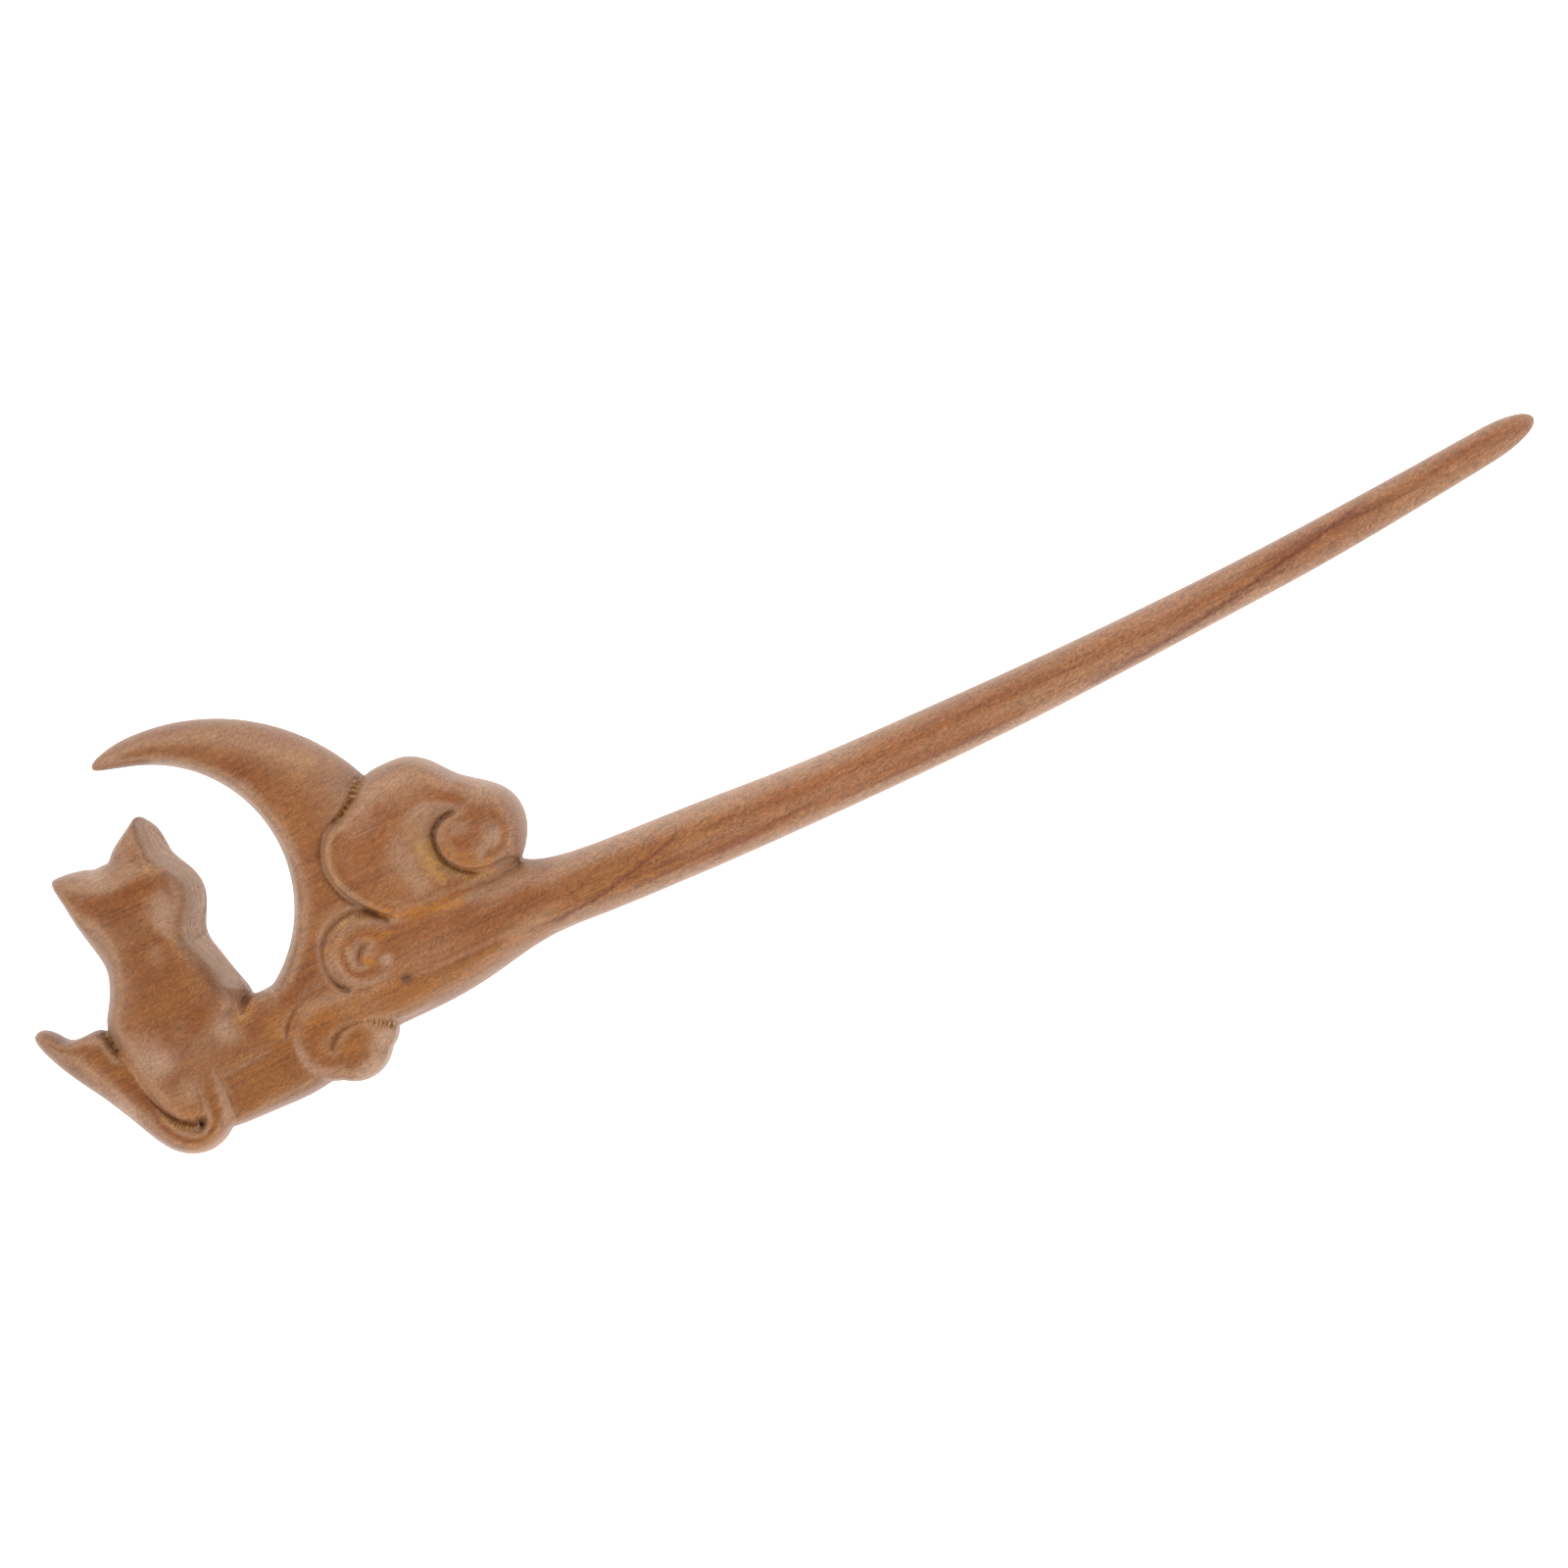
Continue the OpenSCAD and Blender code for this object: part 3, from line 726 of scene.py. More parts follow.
gouge(points, [(-39.7, 0.3), (-39.0, 0.95), (-37.8, 0.85), (-36.5, 0.35), (-35.3, 0.0)],
      0.14, 0.2, 0.4, (0.3, 1.0))

# %% Dips in the lobes
gouge(points, [(-46.7, 5.4), (-46.0, 4.2), (-45.2, 2.8)], 0.25, 1.2, 1.2, (0.3, 1.8), 1.8)
gouge(points, [(-33.2, -1.8), (-33.7, -3.6), (-34.9, -5.3), (-36.8, -6.5)], 0.4, 1.4, 1.3, (2.0, 1.0),
      (1.8, 1.6))
gouge(points, [(-34.8, 4.4), (-35.7, 3.6), (-36.8, 3.0)], 0.5, 0.8, 1.0, (0.3, 1.2), 1.6)

# %% Undercut of the left lobe
gouge(points, LOBE_LINE, [0.5, 0.5, 0.5, 0.45, 0.4, 0.4, 0.45, 0.6, 0.45, 0.1],
      [0.4, 0.5, 0.5, 0.4, 0.35, 0.3, 0.3], [0.6, 0.7, 0.8, 0.7, 0.6, 0.6], (0.4, 3.0), (1.3, 1.5))
notches(points, [(-45.3, 8.0), (-45.9, 6.9), (-46.6, 6.0), (-47.8, 5.3), (-49.2, 4.8)], 0.6, 0.22, 0.8)
for x, y in [(-45.9, 7.1), (-46.5, 6.5), (-46.9, 5.7), (-47.6, 5.5), (-46.3, 5.8), (-48.4, 4.8), (-45.4, 7.9),
             (-49.3, 4.6)]:
    dab(points, x, y, 0.42, 0.34, -0.28, 40)
dab(points, -48.6, -0.6, 4.0, 5.0, 0.3)
dab(points, -37.2, -3.6, 3.2, 3.4, 0.25)

# %% [markdown]
# ## Carving the scrolls
# Each lower curl is a coin whose face was cut into a spiral: a crest runs round inside the outer line, sinks
# inwards to a second line, and ends in a small eye. Long shallow lines flow out of them into the neck.

# %% Ground round the scrolls
MIDDLE_LINE = [(-49.0, -6.9), (-49.9, -6.0), (-51.1, -5.35), (-52.6, -5.2), (-54.2, -5.6), (-55.6, -6.45),
               (-56.5, -7.6), (-56.95, -9.0), (-57.0, -10.5), (-56.6, -11.9), (-55.9, -12.8), (-55.0, -13.3)]
heap(points, [(-49.5, -11.6), (-46.5, -12.2), (-42.0, -12.6), (-36.0, -12.8)], 8.6, 4.2, 0.3, (1.0, 6.0))
heap(points, [(-57.5, -14.2), (-54.6, -15.4), (-51.0, -16.0), (-46.0, -15.6)], [8.2, 8.2, 8.3, 8.4],
     2.6, 0.5, (0.8, 4.0))
soften(points, within(points, -47.0, -11.4, 2.8, 4.6, 0, 0.6), 300)
soften(points, within(points, -54.8, -15.2, 3.4, 2.2, -20, 0.6), 200)
soften(points, within(points, -49.2, -13.6, 2.2, 3.0, 0, 0.7), 250)
soften(points, within(points, -63.6, -11.0, 2.6, 3.0, 0, 0.7), 250)

# %% Middle scroll
gouge(points, MIDDLE_LINE, [0.6, 0.65, 0.7, 0.7, 0.7, 0.6, 0.5, 0.45, 0.5, 0.7, 0.9, 0.4],
      [0.5, 0.8, 1.0, 1.0, 0.8, 0.5, 0.4, 0.4, 0.4], [0.5, 0.4, 0.4, 0.5, 0.6, 0.6, 0.6, 0.6, 0.5],
      (0.6, 0.8), 1.2)
INNER_LINE = [(-50.4, -9.5), (-51.5, -9.35), (-52.4, -9.6), (-53.0, -10.2), (-53.15, -11.0), (-52.8, -11.7)]
gouge(points, INNER_LINE, [0.1, 0.4, 0.8, 0.9, 0.7, 0.2], 0.3, [0.7, 1.1, 1.5, 1.8, 1.5, 1.0], (1.0, 0.8),
      (1.1, 1.2))
dab(points, -50.6, -11.6, 1.0, 1.0, 0.25)
gouge(points, [(-55.2, -13.2), (-54.0, -13.4), (-52.4, -13.5), (-50.6, -13.3)],
      0.2, 0.5, 0.6, (0.6, 1.2), 1.4)
gouge(points, [(-49.4, -14.9), (-45.5, -15.1), (-41.0, -15.1), (-33.0, -14.9)],
      0.15, 0.8, 1.0, (1.5, 8.0), 1.6)

# %% Lower scroll
LOWER_LINE = [(-57.0, -11.95), (-58.2, -11.55), (-59.8, -11.6), (-61.4, -12.15), (-62.8, -13.0),
              (-63.8, -14.1), (-64.4, -15.3)]
gouge(points, LOWER_LINE, [0.15, 0.25, 0.25, 0.3, 0.45, 0.5, 0.3], 0.5, 0.7, (1.0, 0.8), (1.4, 1.5))
ARC = [(-55.7, -16.8), (-57.0, -16.65), (-58.3, -16.8), (-59.3, -17.3), (-59.9, -18.1), (-60.05, -19.3)]
gouge(points, ARC, [0.3, 0.45, 0.6, 0.7, 0.6, 0.2], 0.3, [0.5, 0.6, 0.9, 1.4, 1.5], (0.6, 1.0), (1.1, 1.2))
TEETH = [(-55.9, -16.8), (-54.8, -17.2), (-53.8, -17.8), (-52.6, -18.7)]
gouge(points, TEETH, [0.2, 0.35, 0.7], 0.5, 0.7, (0.6, 0.2), 1.3)
notches(points, TEETH, 0.45, 0.4, 0.7)
pare(points, (-54.4, -17.9), (-57.2, -21.2), 7.9, 0.6, within(points, -54.8, -19.9, 2.6, 2.2, -45, 0.6),
     0.0, 0.5)
gouge(points, [(-72.4, -16.1), (-69.5, -15.8), (-66.8, -15.6), (-64.6, -15.2)], [0.2, 0.2, 0.1],
      0.5, 0.5, (0.8, 2.0), 1.6)
write_points(stick, points)

# %% [markdown]
# ## An even skin again
# The strokes have stretched the faces on steep sides. A second, slightly finer voxel remesh evens them out, a
# last light rub takes away the small steps it leaves, and the back is planed flat again.

# %% Even skin
def reskin(piece, grain):
    remesh = piece.modifiers.new("Even skin", "REMESH")
    remesh.mode = "VOXEL"
    remesh.voxel_size = grain
    nothing_selected()
    bpy.context.view_layer.objects.active = piece
    bpy.ops.object.modifier_apply(modifier=remesh.name)


reskin(stick, CLAY * 0.85)
rub(stick, 2)
points = read_points(stick)
points[:, 2] = np.maximum(points[:, 2], 0.0)
write_points(stick, points)
print("carved:", round(time.time() - STARTED, 1), "s")

# %% [markdown]
# ## Fewer faces where nothing happens
# The back and the shaft are smooth, so they can do with larger faces. The decimate modifier collapses the
# edges that matter least to the shape first, so it takes them there and leaves the carving alone.

# %% Lighten
FACE_LIMIT = 190000
triangles = sum(len(face.vertices) - 2 for face in stick.data.polygons)
lighten = stick.modifiers.new("Lighten", "DECIMATE")
lighten.ratio = FACE_LIMIT / triangles
nothing_selected()
bpy.context.view_layer.objects.active = stick
bpy.ops.object.modifier_apply(modifier=lighten.name)
left = sum(len(face.vertices) - 2 for face in stick.data.polygons)
print("triangles", triangles, "->", left, round(time.time() - STARTED, 1), "s")

# %% [markdown]
# ## Down to metres
# The carving is done, so it is brought down to metres, the unit of the frame. This is done in its mesh, and
# the object itself stays unscaled. Smooth shading lets the light run over the faces without steps.

# %% To metres
stick.data.transform(Matrix.Scale(MM, 4))
nothing_selected()
stick.select_set(True)
bpy.ops.object.shade_smooth()

# %% [markdown]
# ## How the skin lies
# The finish follows the shape, so two things are read off the mesh. A crevice lies just below its nearest
# surroundings. Dirt and oil stay in it, and the shader also darkens it as painted shade. The tilt tells how
# far the skin leans from level, and the shader paints a pale sheen on slopes by it. Both are kept on the
# points as attributes.

# %% Crevices and slopes
def normals_of(piece):
    normals = np.empty(len(piece.data.vertices) * 3)
    piece.data.vertices.foreach_get("normal", normals)
    return normals.reshape(-1, 3)


def hollow_of(piece, times):
    """How far each point lies below the evened-out surface round it, in millimetres."""
    at = read_points(piece) / MM
    return ((evened(at, read_edges(piece), times) - at) * normals_of(piece)).sum(1)


def tilt_of(piece, times):
    """How many degrees the evened-out skin leans away from level, at each point."""
    even = evened(normals_of(piece), read_edges(piece), times)
    even /= np.linalg.norm(even, axis=1)[:, None]
    return np.degrees(np.arccos(np.clip(np.abs(even[:, 2]), 0, 1)))


def keep_on_points(piece, name, values):
    layer = piece.data.attributes.new(name, "FLOAT", "POINT")
    layer.data.foreach_set("value", np.ascontiguousarray(values, dtype=np.float32))


hollows = hollow_of(stick, 6)
keep_on_points(stick, "crevice", np.clip(hollows / 0.11, -1, 1))
keep_on_points(stick, "tilt", tilt_of(stick, 30))
print("crevices, mm:", np.percentile(hollows, [1, 50, 99]).round(3))

# %% [markdown]
# ## Marks of the work
# A carving shows how it was made. Where the gouge was left unsanded the wood is yellowish and ribbed, and in
# one strip beside the curl that colour also paints light on a slope. Some places get a painted pale
# highlight, others are stained, some are darkened by painted shade, and the walls that face the opening still
# have file marks under a painted pale sheen.
# They follow no rule that the mesh could tell, so they are listed as lines and ovals in millimetres.
# Each kind becomes an attribute that says how strong the mark is at a point. Cuts and file marks also keep
# how far along or beside their line a point lies, because their ribs and scratches follow it.

# %% Cuts left from the gouge
TOOLED = [
    # half width, how yellow, how deep the ticks are, and the places along the path
    (1.0, 0.55, 0.6, [(-44.9, 7.9), (-46.1, 6.3), (-47.4, 5.4), (-49.4, 4.6)]),
    (2.2, 0.25, 0.3, [(-43.2, -0.9), (-42.4, -0.9), (-40.5, -0.9)]),
    # This strip's raw-cut colour is also painted light on the slope of the curl's hollow.
    (1.5, 1.0, 0.1, [(-41.2, -1.4), (-41.4, -2.6), (-41.3, -4.2), (-40.9, -5.6), (-40.2, -6.6)]),
    (0.7, 0.6, 0.5, [(-39.9, -5.8), (-38.6, -7.1), (-37.0, -7.7), (-35.6, -7.7)]),
    (0.4, 0.4, 0.25, [(-51.6, 2.6), (-52.0, 1.0), (-52.1, -0.8), (-51.6, -2.6), (-50.8, -3.8)]),
    (0.7, 0.7, 0.6, [(-54.4, -6.3), (-52.6, -5.9), (-51.2, -6.0), (-50.0, -6.8)]),
    (1.0, 0.1, 0.25, [(-53.4, -6.9), (-55.0, -7.9), (-55.8, -9.6), (-55.4, -11.6), (-54.2, -12.8),
                      (-52.0, -13.2)]),
    (0.5, 0.1, 0.5, [(-55.6, -13.8), (-53.5, -14.2), (-51.6, -14.2), (-50.2, -13.8)]),
    (0.9, 0.2, 0.45, [(-61.0, -16.4), (-61.0, -18.0), (-60.7, -19.6)]),
    (0.7, 0.5, 0.55, [(-82.4, -5.2), (-82.0, -7.2), (-81.7, -9.4)]),
    (0.6, 0.6, 0.8, [(-80.5, -16.6), (-79.4, -18.3), (-77.6, -19.6)]),
    (1.0, 0.5, 0.5, [(-66.2, -9.8), (-67.6, -11.4)]),
    (0.5, 0.4, 0.6, [(-71.2, 0.3), (-69.8, 0.6), (-68.2, 0.6)]),
    (0.6, 1.0, 0.1, [(-70.7, 8.5), (-69.7, 8.2)]),
    (0.6, 0.3, 0.5, [(-53.9, -8.4), (-54.1, -10.2), (-53.9, -11.8)]),
    (0.6, 0.5, 1.0, [(-55.9, -16.9), (-54.8, -17.3), (-53.8, -17.9), (-52.7, -18.7)]),
]

# %% Warm places
WARM = [
    # half width, strength, and the places along a line where the wood is yellow-brown
    (1.0, 1.0, [(-49.6, -5.9), (-48.0, -7.2), (-46.0, -8.1), (-43.6, -8.7), (-40.4, -9.1)]),
    (0.5, 1.0, [(-51.8, -8.7), (-50.0, -8.8), (-48.6, -9.2)]),
    (0.7, 1.0, [(-53.0, -10.6), (-52.0, -11.2)]),
    (2.8, 0.5, [(-55.5, -15.8), (-58.0, -15.2), (-61.0, -14.0), (-64.4, -13.8)]),
    (1.6, 0.55, [(-39.4, -4.2), (-37.8, -5.8), (-36.2, -7.4)]),
    (1.6, 0.4, [(-60.0, -18.0), (-58.0, -18.2)]),
    (1.7, 0.4, [(-78.2, -18.0), (-76.4, -18.2)]),
    (1.4, 0.5, [(-79.0, -21.9), (-75.5, -21.9)]),
    (1.2, 0.5, [(-67.8, -10.6), (-66.2, -9.6)]),
    (1.3, 0.4, [(-81.3, -9.4), (-80.8, -12.0), (-79.4, -15.0), (-78.6, -17.0)]),
    (1.5, 0.4, [(-56.0, -8.4), (-54.2, -8.0)]),
    (2.0, 0.35, [(-53.0, -14.2), (-48.0, -15.8), (-42.0, -16.2)]),
    (1.5, 0.4, [(-40.0, -16.0), (-33.0, -15.9)]),
]

# %% Painted highlights
HIGHLIGHT_OVALS = [
    # x, y, reach along and across, turn, strength, for ovals with a painted pale highlight
    (-50.5, -11.6, 1.1, 0.9, 0, 0.8), (-70.1, -11.1, 1.7, 1.1, -20, 0.5), (-33.8, -4.3, 2.4, 1.1, 55, 0.85),
    (-63.5, -17.4, 0.9, 2.6, 0, 0.45), (-54.2, -19.3, 2.2, 1.2, 40, 0.9), (-53.0, -14.1, 2.6, 0.4, 0, 0.5),
    (-79.2, 3.0, 1.6, 3.4, 0, 0.35), (-40.0, 1.8, 2.6, 1.0, 10, 0.5), (-76.8, 10.2, 3.4, 1.8, -12, 0.5),
    (-44.2, -3.0, 1.8, 5.0, 0, 0.45), (-33.0, 0.4, 2.2, 3.0, 20, 0.4), (-41.8, 4.6, 6.2, 3.2, -12, 0.35),
    (-70.7, 3.1, 2.7, 1.4, 58, 0.5), (-46.5, 2.4, 3.0, 1.6, 0, 0.3), (-77.2, -11.8, 2.8, 2.4, 0, 0.6),
    (-57.2, -21.6, 3.4, 1.3, 14, 1.0), (-34.4, 0.6, 2.4, 1.6, 20, 0.35), (-69.4, -12.2, 2.4, 1.6, 0, 0.5),
    (-73.2, -0.4, 1.6, 2.0, 0, 0.35), (-75.0, 8.4, 2.2, 1.0, 0, 0.35), (-83.5, -14.4, 1.2, 3.2, 20, 0.7),
    (-83.6, -6.2, 1.4, 1.2, 0, 0.5), (-78.6, -10.6, 2.2, 2.6, 0, 0.25), (-55.6, -15.2, 4.5, 2.2, 0, 0.35),
    (-46.0, -13.2, 7.0, 3.0, 0, 0.2), (-76.6, -15.4, 3.0, 2.2, 0, 0.25), (-74.4, -10.0, 2.4, 3.4, 0, 0.2),
    (-53.9, -9.8, 0.8, 2.0, 0, 0.5), (-36.2, -8.6, 2.6, 0.7, 8, 0.25), (-37.0, -2.0, 1.9, 1.4, 0, 0.5),
    (-57.3, -1.5, 0.9, 3.6, 8, 0.5), (-57.0, 11.8, 2.0, 2.0, 0, 0.5), (-43.4, -5.8, 1.6, 1.8, 0, 0.5),
    (-75.2, 9.8, 1.8, 1.3, 0, 0.5), (-73.3, -20.0, 1.2, 1.3, 0, 0.5), (-55.2, 4.6, 1.6, 3.6, 0, 0.4),
    (-81.5, -16.4, 0.8, 2.0, 20, 0.4), (-69.0, -10.6, 2.4, 1.2, -20, 0.3),
]

# %% Stained places, and painted shade in a pit and along lines
DARK = [
    # the same for darker ovals: the broad ones are stains, and the small ones at lines and the pit are
    # painted shade
    (-49.3, -14.5, 1.3, 0.8, 0, 1.0), (-49.5, -14.4, 0.8, 0.5, 0, 0.5), (-66.6, -9.1, 1.2, 0.9, 30, 0.8),
    (-38.3, -0.1, 0.6, 0.4, 0, 0.6), (-75.5, 4.2, 4.0, 5.0, 0, 0.2), (-75.2, -3.0, 4.6, 5.0, 0, 0.15),
    (-50.0, -5.6, 1.6, 0.7, -50, 0.2), (-56.1, -12.6, 1.1, 0.5, -45, 0.6), (-73.0, -16.1, 0.3, 0.9, 0, 0.5),
    (-69.0, 5.6, 0.8, 2.2, -8, 0.4), (-87.2, -8.4, 1.3, 3.0, 25, 0.5), (-68.7, -9.7, 1.1, 0.8, 0, 0.3),
    (-48.6, 9.6, 3.0, 2.0, -40, 0.25), (-81.0, -7.6, 0.9, 1.6, 0, 0.15), (-59.2, -18.0, 2.4, 1.6, 0, 0.25),
    (-44.0, -16.3, 5.5, 1.6, 0, 0.3), (-57.0, -16.0, 2.0, 1.3, 0, 0.2), (-37.0, -8.0, 2.2, 1.2, 0, 0.25),
    (-47.0, 8.0, 1.7, 1.7, 0, 0.35), (-79.3, 3.0, 1.3, 4.6, 0, 0.2), (-89.0, -4.2, 1.2, 1.6, 0, 0.2),
]
# The first dark line is a streak in the wood. The others are painted shade along gouge lines and the cat's
# side.
DARK_LINES = [
    # half width, strength, and the places along a dark line
    (0.5, 0.4, [(-49.0, -15.0), (-44.0, -15.2), (-38.0, -15.2)]),
    (0.35, 0.25, [(-39.9, -1.4), (-40.3, -2.6), (-40.25, -3.8), (-39.8, -5.0)]),
    (0.4, 0.6, [(-69.7, 13.4), (-69.8, 12.0), (-69.8, 10.2), (-69.6, 9.2)]),
    (0.6, 0.45, [(-68.6, 7.2), (-67.9, 5.9), (-67.8, 4.8), (-68.2, 3.7), (-69.0, 2.6), (-69.8, 1.5),
                 (-70.2, 0.3)]),
    (0.9, 0.6, [(-70.2, -0.4), (-69.7, -2.2), (-69.2, -3.8), (-68.9, -5.2), (-68.7, -6.6), (-68.0, -7.6)]),
    (0.5, 0.35, [(-52.0, -5.3), (-54.2, -5.6), (-55.7, -6.5), (-56.6, -7.7)]),
    (0.35, 0.35, [(-72.4, -16.0), (-70.4, -15.9), (-68.4, -15.8)]),
    (0.4, 0.4, [(-63.2, -13.4), (-63.9, -14.3), (-64.3, -15.2)]),
]

# %% Slopes without the painted sheen
DEEP = [
    # ovals where the slopes get no painted sheen and keep the deep colour
    (-60.2, -15.6, 4.6, 3.2, 20, 0.8), (-37.7, -5.4, 2.2, 1.5, -30, 0.8), (-40.0, -10.4, 5.0, 1.4, -8, 0.8),
    (-43.0, -16.2, 6.0, 1.3, 0, 0.5), (-46.8, -7.6, 3.0, 1.1, -35, 0.9), (-77.2, -17.6, 1.8, 1.4, 0, 0.7),
    (-69.2, -5.4, 1.3, 3.6, 0, 0.9), (-62.8, -13.8, 2.2, 1.8, 30, 0.8), (-55.2, -8.4, 1.4, 1.6, 0, 0.4),
    (-81.0, -9.6, 1.0, 1.6, 0, 0.5), (-79.2, -16.2, 1.4, 1.4, -45, 0.5), (-36.6, -8.2, 2.2, 0.9, 5, 0.6),
    (-69.0, 6.0, 1.0, 2.2, 0, 0.8), (-81.0, -7.8, 1.0, 1.8, 0, 0.7), (-48.8, 10.0, 2.8, 2.0, -40, 0.6),
    (-54.8, -6.9, 2.2, 1.2, 40, 0.6), (-39.4, -3.6, 0.9, 2.6, 0, 0.5), (-68.9, -9.9, 1.6, 1.0, 0, 0.6),
    (-87.0, -8.0, 1.0, 2.6, 25, 0.5), (-66.8, -10.2, 1.4, 1.0, 0, 0.5), (-52.6, -6.4, 2.4, 0.8, 0, 0.5),
    (-75.2, 4.6, 2.4, 2.6, 0, 0.6),
]

# %% Pale bands of the shaft, a painted sheen
BANDS = [
    # half width, strength, and the places along a paler band of the shaft, as x and how far off the bow
    (2.0, 0.5, [(-29, 3.0), (-20, 2.9), (-8, 2.8), (6, 2.6)]),
    (1.7, 0.35, [(26, -1.2), (40, -1.1), (56, -1.4), (70, -1.1), (86, -0.8)]),
    (1.3, 0.5, [(-30, -3.5), (-16, -3.4), (4, -3.1), (18, -2.9), (34, -2.6), (56, -2.3)]),
    (1.1, 0.3, [(41, 1.2), (47, 1.2), (53, 1.2)]),
    (1.2, 0.25, [(-16, -0.9), (-4, -1.0), (10, -0.7), (26, -0.6)]),
]

# %% Lines and ovals as marks
RIM = 0.9
at = read_points(stick) / MM


def ovals(table):
    return sum(strength * within(at, x, y, a, b, turn, RIM) for x, y, a, b, turn, strength in table)


def lines_of(table):
    return sum(strength * beside(at, places, half, RIM) for half, strength, places in table)


tooled, path, ticks, warm = np.zeros((4, len(at)))
for half, yellow, depth, places in TOOLED:
    found, off, run, total = near_line(at, smooth_line(places), half)
    ends = ease((run + 0.1) / 0.8) * ease((total - run + 0.1) / 0.8)
    amount = ends * ease((1 - np.abs(off) / half) / 0.8)
    better = depth * amount > ticks[found]
    path[found[better]] = run[better]
    ticks[found[better]] = depth * amount[better]
    tooled[found] = np.maximum(tooled[found], yellow * amount)
for half, strength, places in WARM:
    warm = np.maximum(warm, strength * beside(at, places, half, 0.8))
bands = [(half, strength, [(x, bow(x) + off) for x, off in places]) for half, strength, places in BANDS]
painted_sheen = ovals(HIGHLIGHT_OVALS) + lines_of(bands)
dark = ovals(DARK) + lines_of(DARK_LINES)
deep = ovals(DEEP)
carved_side = ease((at[:, 2] - 1.5) / 2.0)
warm, painted_sheen, dark, deep = [carved_side * values for values in (warm, painted_sheen, dark, np.minimum(deep, 1.0))]

# %% File marks and a painted sheen on the walls
OPENING_FROM_X = -66.0
OPENING_LOWEST_Y = -9.5
fade_below = ease(at[:, 2] / 3.5)
found, off, run, total = near_line(at, smooth_line(SIDE_LINE), 3.2, 0.0)
filed, lane = np.zeros((2, len(at)))
filed[found] = ease((off + 0.1) / 0.3) * (0.4 + 0.6 * ease(off / 2.2)) * fade_below[found]
lane[found] = off
gap_off = np.linalg.norm(at[:, :2] - GAP_CENTRE, axis=1) - GAP_R
inner_wall = 0.8 * ease((1.0 - gap_off) / 0.5) * ease((at[:, 0] - OPENING_FROM_X) / 2.0) * fade_below
inner_wall[at[:, 1] < OPENING_LOWEST_Y] = 0.0
lane = np.where(inner_wall > filed, gap_off, lane)
filed = np.maximum(filed, inner_wall)
for name, values in (("tooled", tooled), ("path", path), ("ticks", ticks), ("warm", warm), ("painted_sheen", painted_sheen),
                     ("dark", dark), ("deep", deep), ("filed", filed), ("lane", lane)):
    keep_on_points(stick, name, values)
print("marked shares: tooled", round(tooled.mean(), 3), "painted_sheen", round(painted_sheen.mean(), 3),
      "dark", round(dark.mean(), 3))

# %% [markdown]
# ## The wood
# A close-grained reddish-brown wood, oiled and not varnished. One shader makes all of it, in layers: the bare
# wood with its grain, then painted light (a pale sheen on slopes, greyer steep walls, pale highlights), then
# the file marks with a painted sheen on the walls, then stains and dirt, which also paint shade. The first
# cell holds short helpers, so that each of these steps reads as one line.

# %% A new material
wood = bpy.data.materials.new("wood")
wood.use_nodes = True
nodes, links = wood.node_tree.nodes, wood.node_tree.links
skin = nodes["Principled BSDF"]


def give(source, socket):
    """Feeds a socket with a number, a colour, or what comes out of another node."""
    if isinstance(source, (int, float)):
        socket.default_value = source
    elif isinstance(source, tuple):
        socket.default_value = (*source, 1)
    else:
        links.new(source, socket)

# %% Sums in the shader
def maths(kind, a, b=0.0):
    node = nodes.new("ShaderNodeMath")
    node.operation = kind
    give(a, node.inputs[0])
    give(b, node.inputs[1])
    return node.outputs[0]


def scaled(a, b):
    return maths("MULTIPLY", a, b)


def plus(a, b):
    return maths("ADD", a, b)


def minus(a, b):
    return maths("SUBTRACT", a, b)

# %% Ranges and curves
def spread(source, low, high, to_low=0.0, to_high=1.0):
    """Maps low...high evenly to to_low...to_high, and goes no further."""
    node = nodes.new("ShaderNodeMapRange")
    node.clamp = True
    for value, socket in zip((source, low, high, to_low, to_high), node.inputs):
        give(value, socket)
    return node.outputs[0]


def curve(source, steps):
    """A value read off a line through a few steps."""
    node = nodes.new("ShaderNodeValToRGB")
    give(source, node.inputs["Fac"])
    while len(node.color_ramp.elements) < len(steps):
        node.color_ramp.elements.new(0.5)
    for element, (position, value) in zip(node.color_ramp.elements, steps):
        element.position = position
        element.color = (value, value, value, 1)
    return node.outputs["Color"]

# %% Blends, marks and colours
def blend(amount, first, second, kind="MIX"):
    node = nodes.new("ShaderNodeMix")
    node.data_type = "RGBA"
    node.blend_type = kind
    for source, socket in ((amount, 0), (first, 6), (second, 7)):
        give(source, node.inputs[socket])
    return node.outputs[2]


def mark(name):
    node = nodes.new("ShaderNodeAttribute")
    node.attribute_name = name
    return node.outputs["Fac"]


def srgb(r, g, b):
    return tuple((c / 255 / 12.92) if c < 10 else ((c / 255 + 0.055) / 1.055) ** 2.4 for c in (r, g, b))

# %% [markdown]
# ## Grain and fleck
# All patterns are cut from solid noise that is stretched along the stick, as grain is, so they run on over
# every slope. There are broad warm and dull patches, long darker streaks, fibres, and a fleck of pores a
# fraction of a millimetre long. On the real wood the fleck turns with the fibres, so two noises at different
# angles take turns.

# %% Noise along the stick
place = nodes.new("ShaderNodeTexCoord")


def noise_of(vector, detail, rough=0.5):
    noise = nodes.new("ShaderNodeTexNoise")
    for name, value in (("Scale", 1.0), ("Detail", detail), ("Roughness", rough)):
        noise.inputs[name].default_value = value
    links.new(vector, noise.inputs["Vector"])
    return noise.outputs["Fac"]


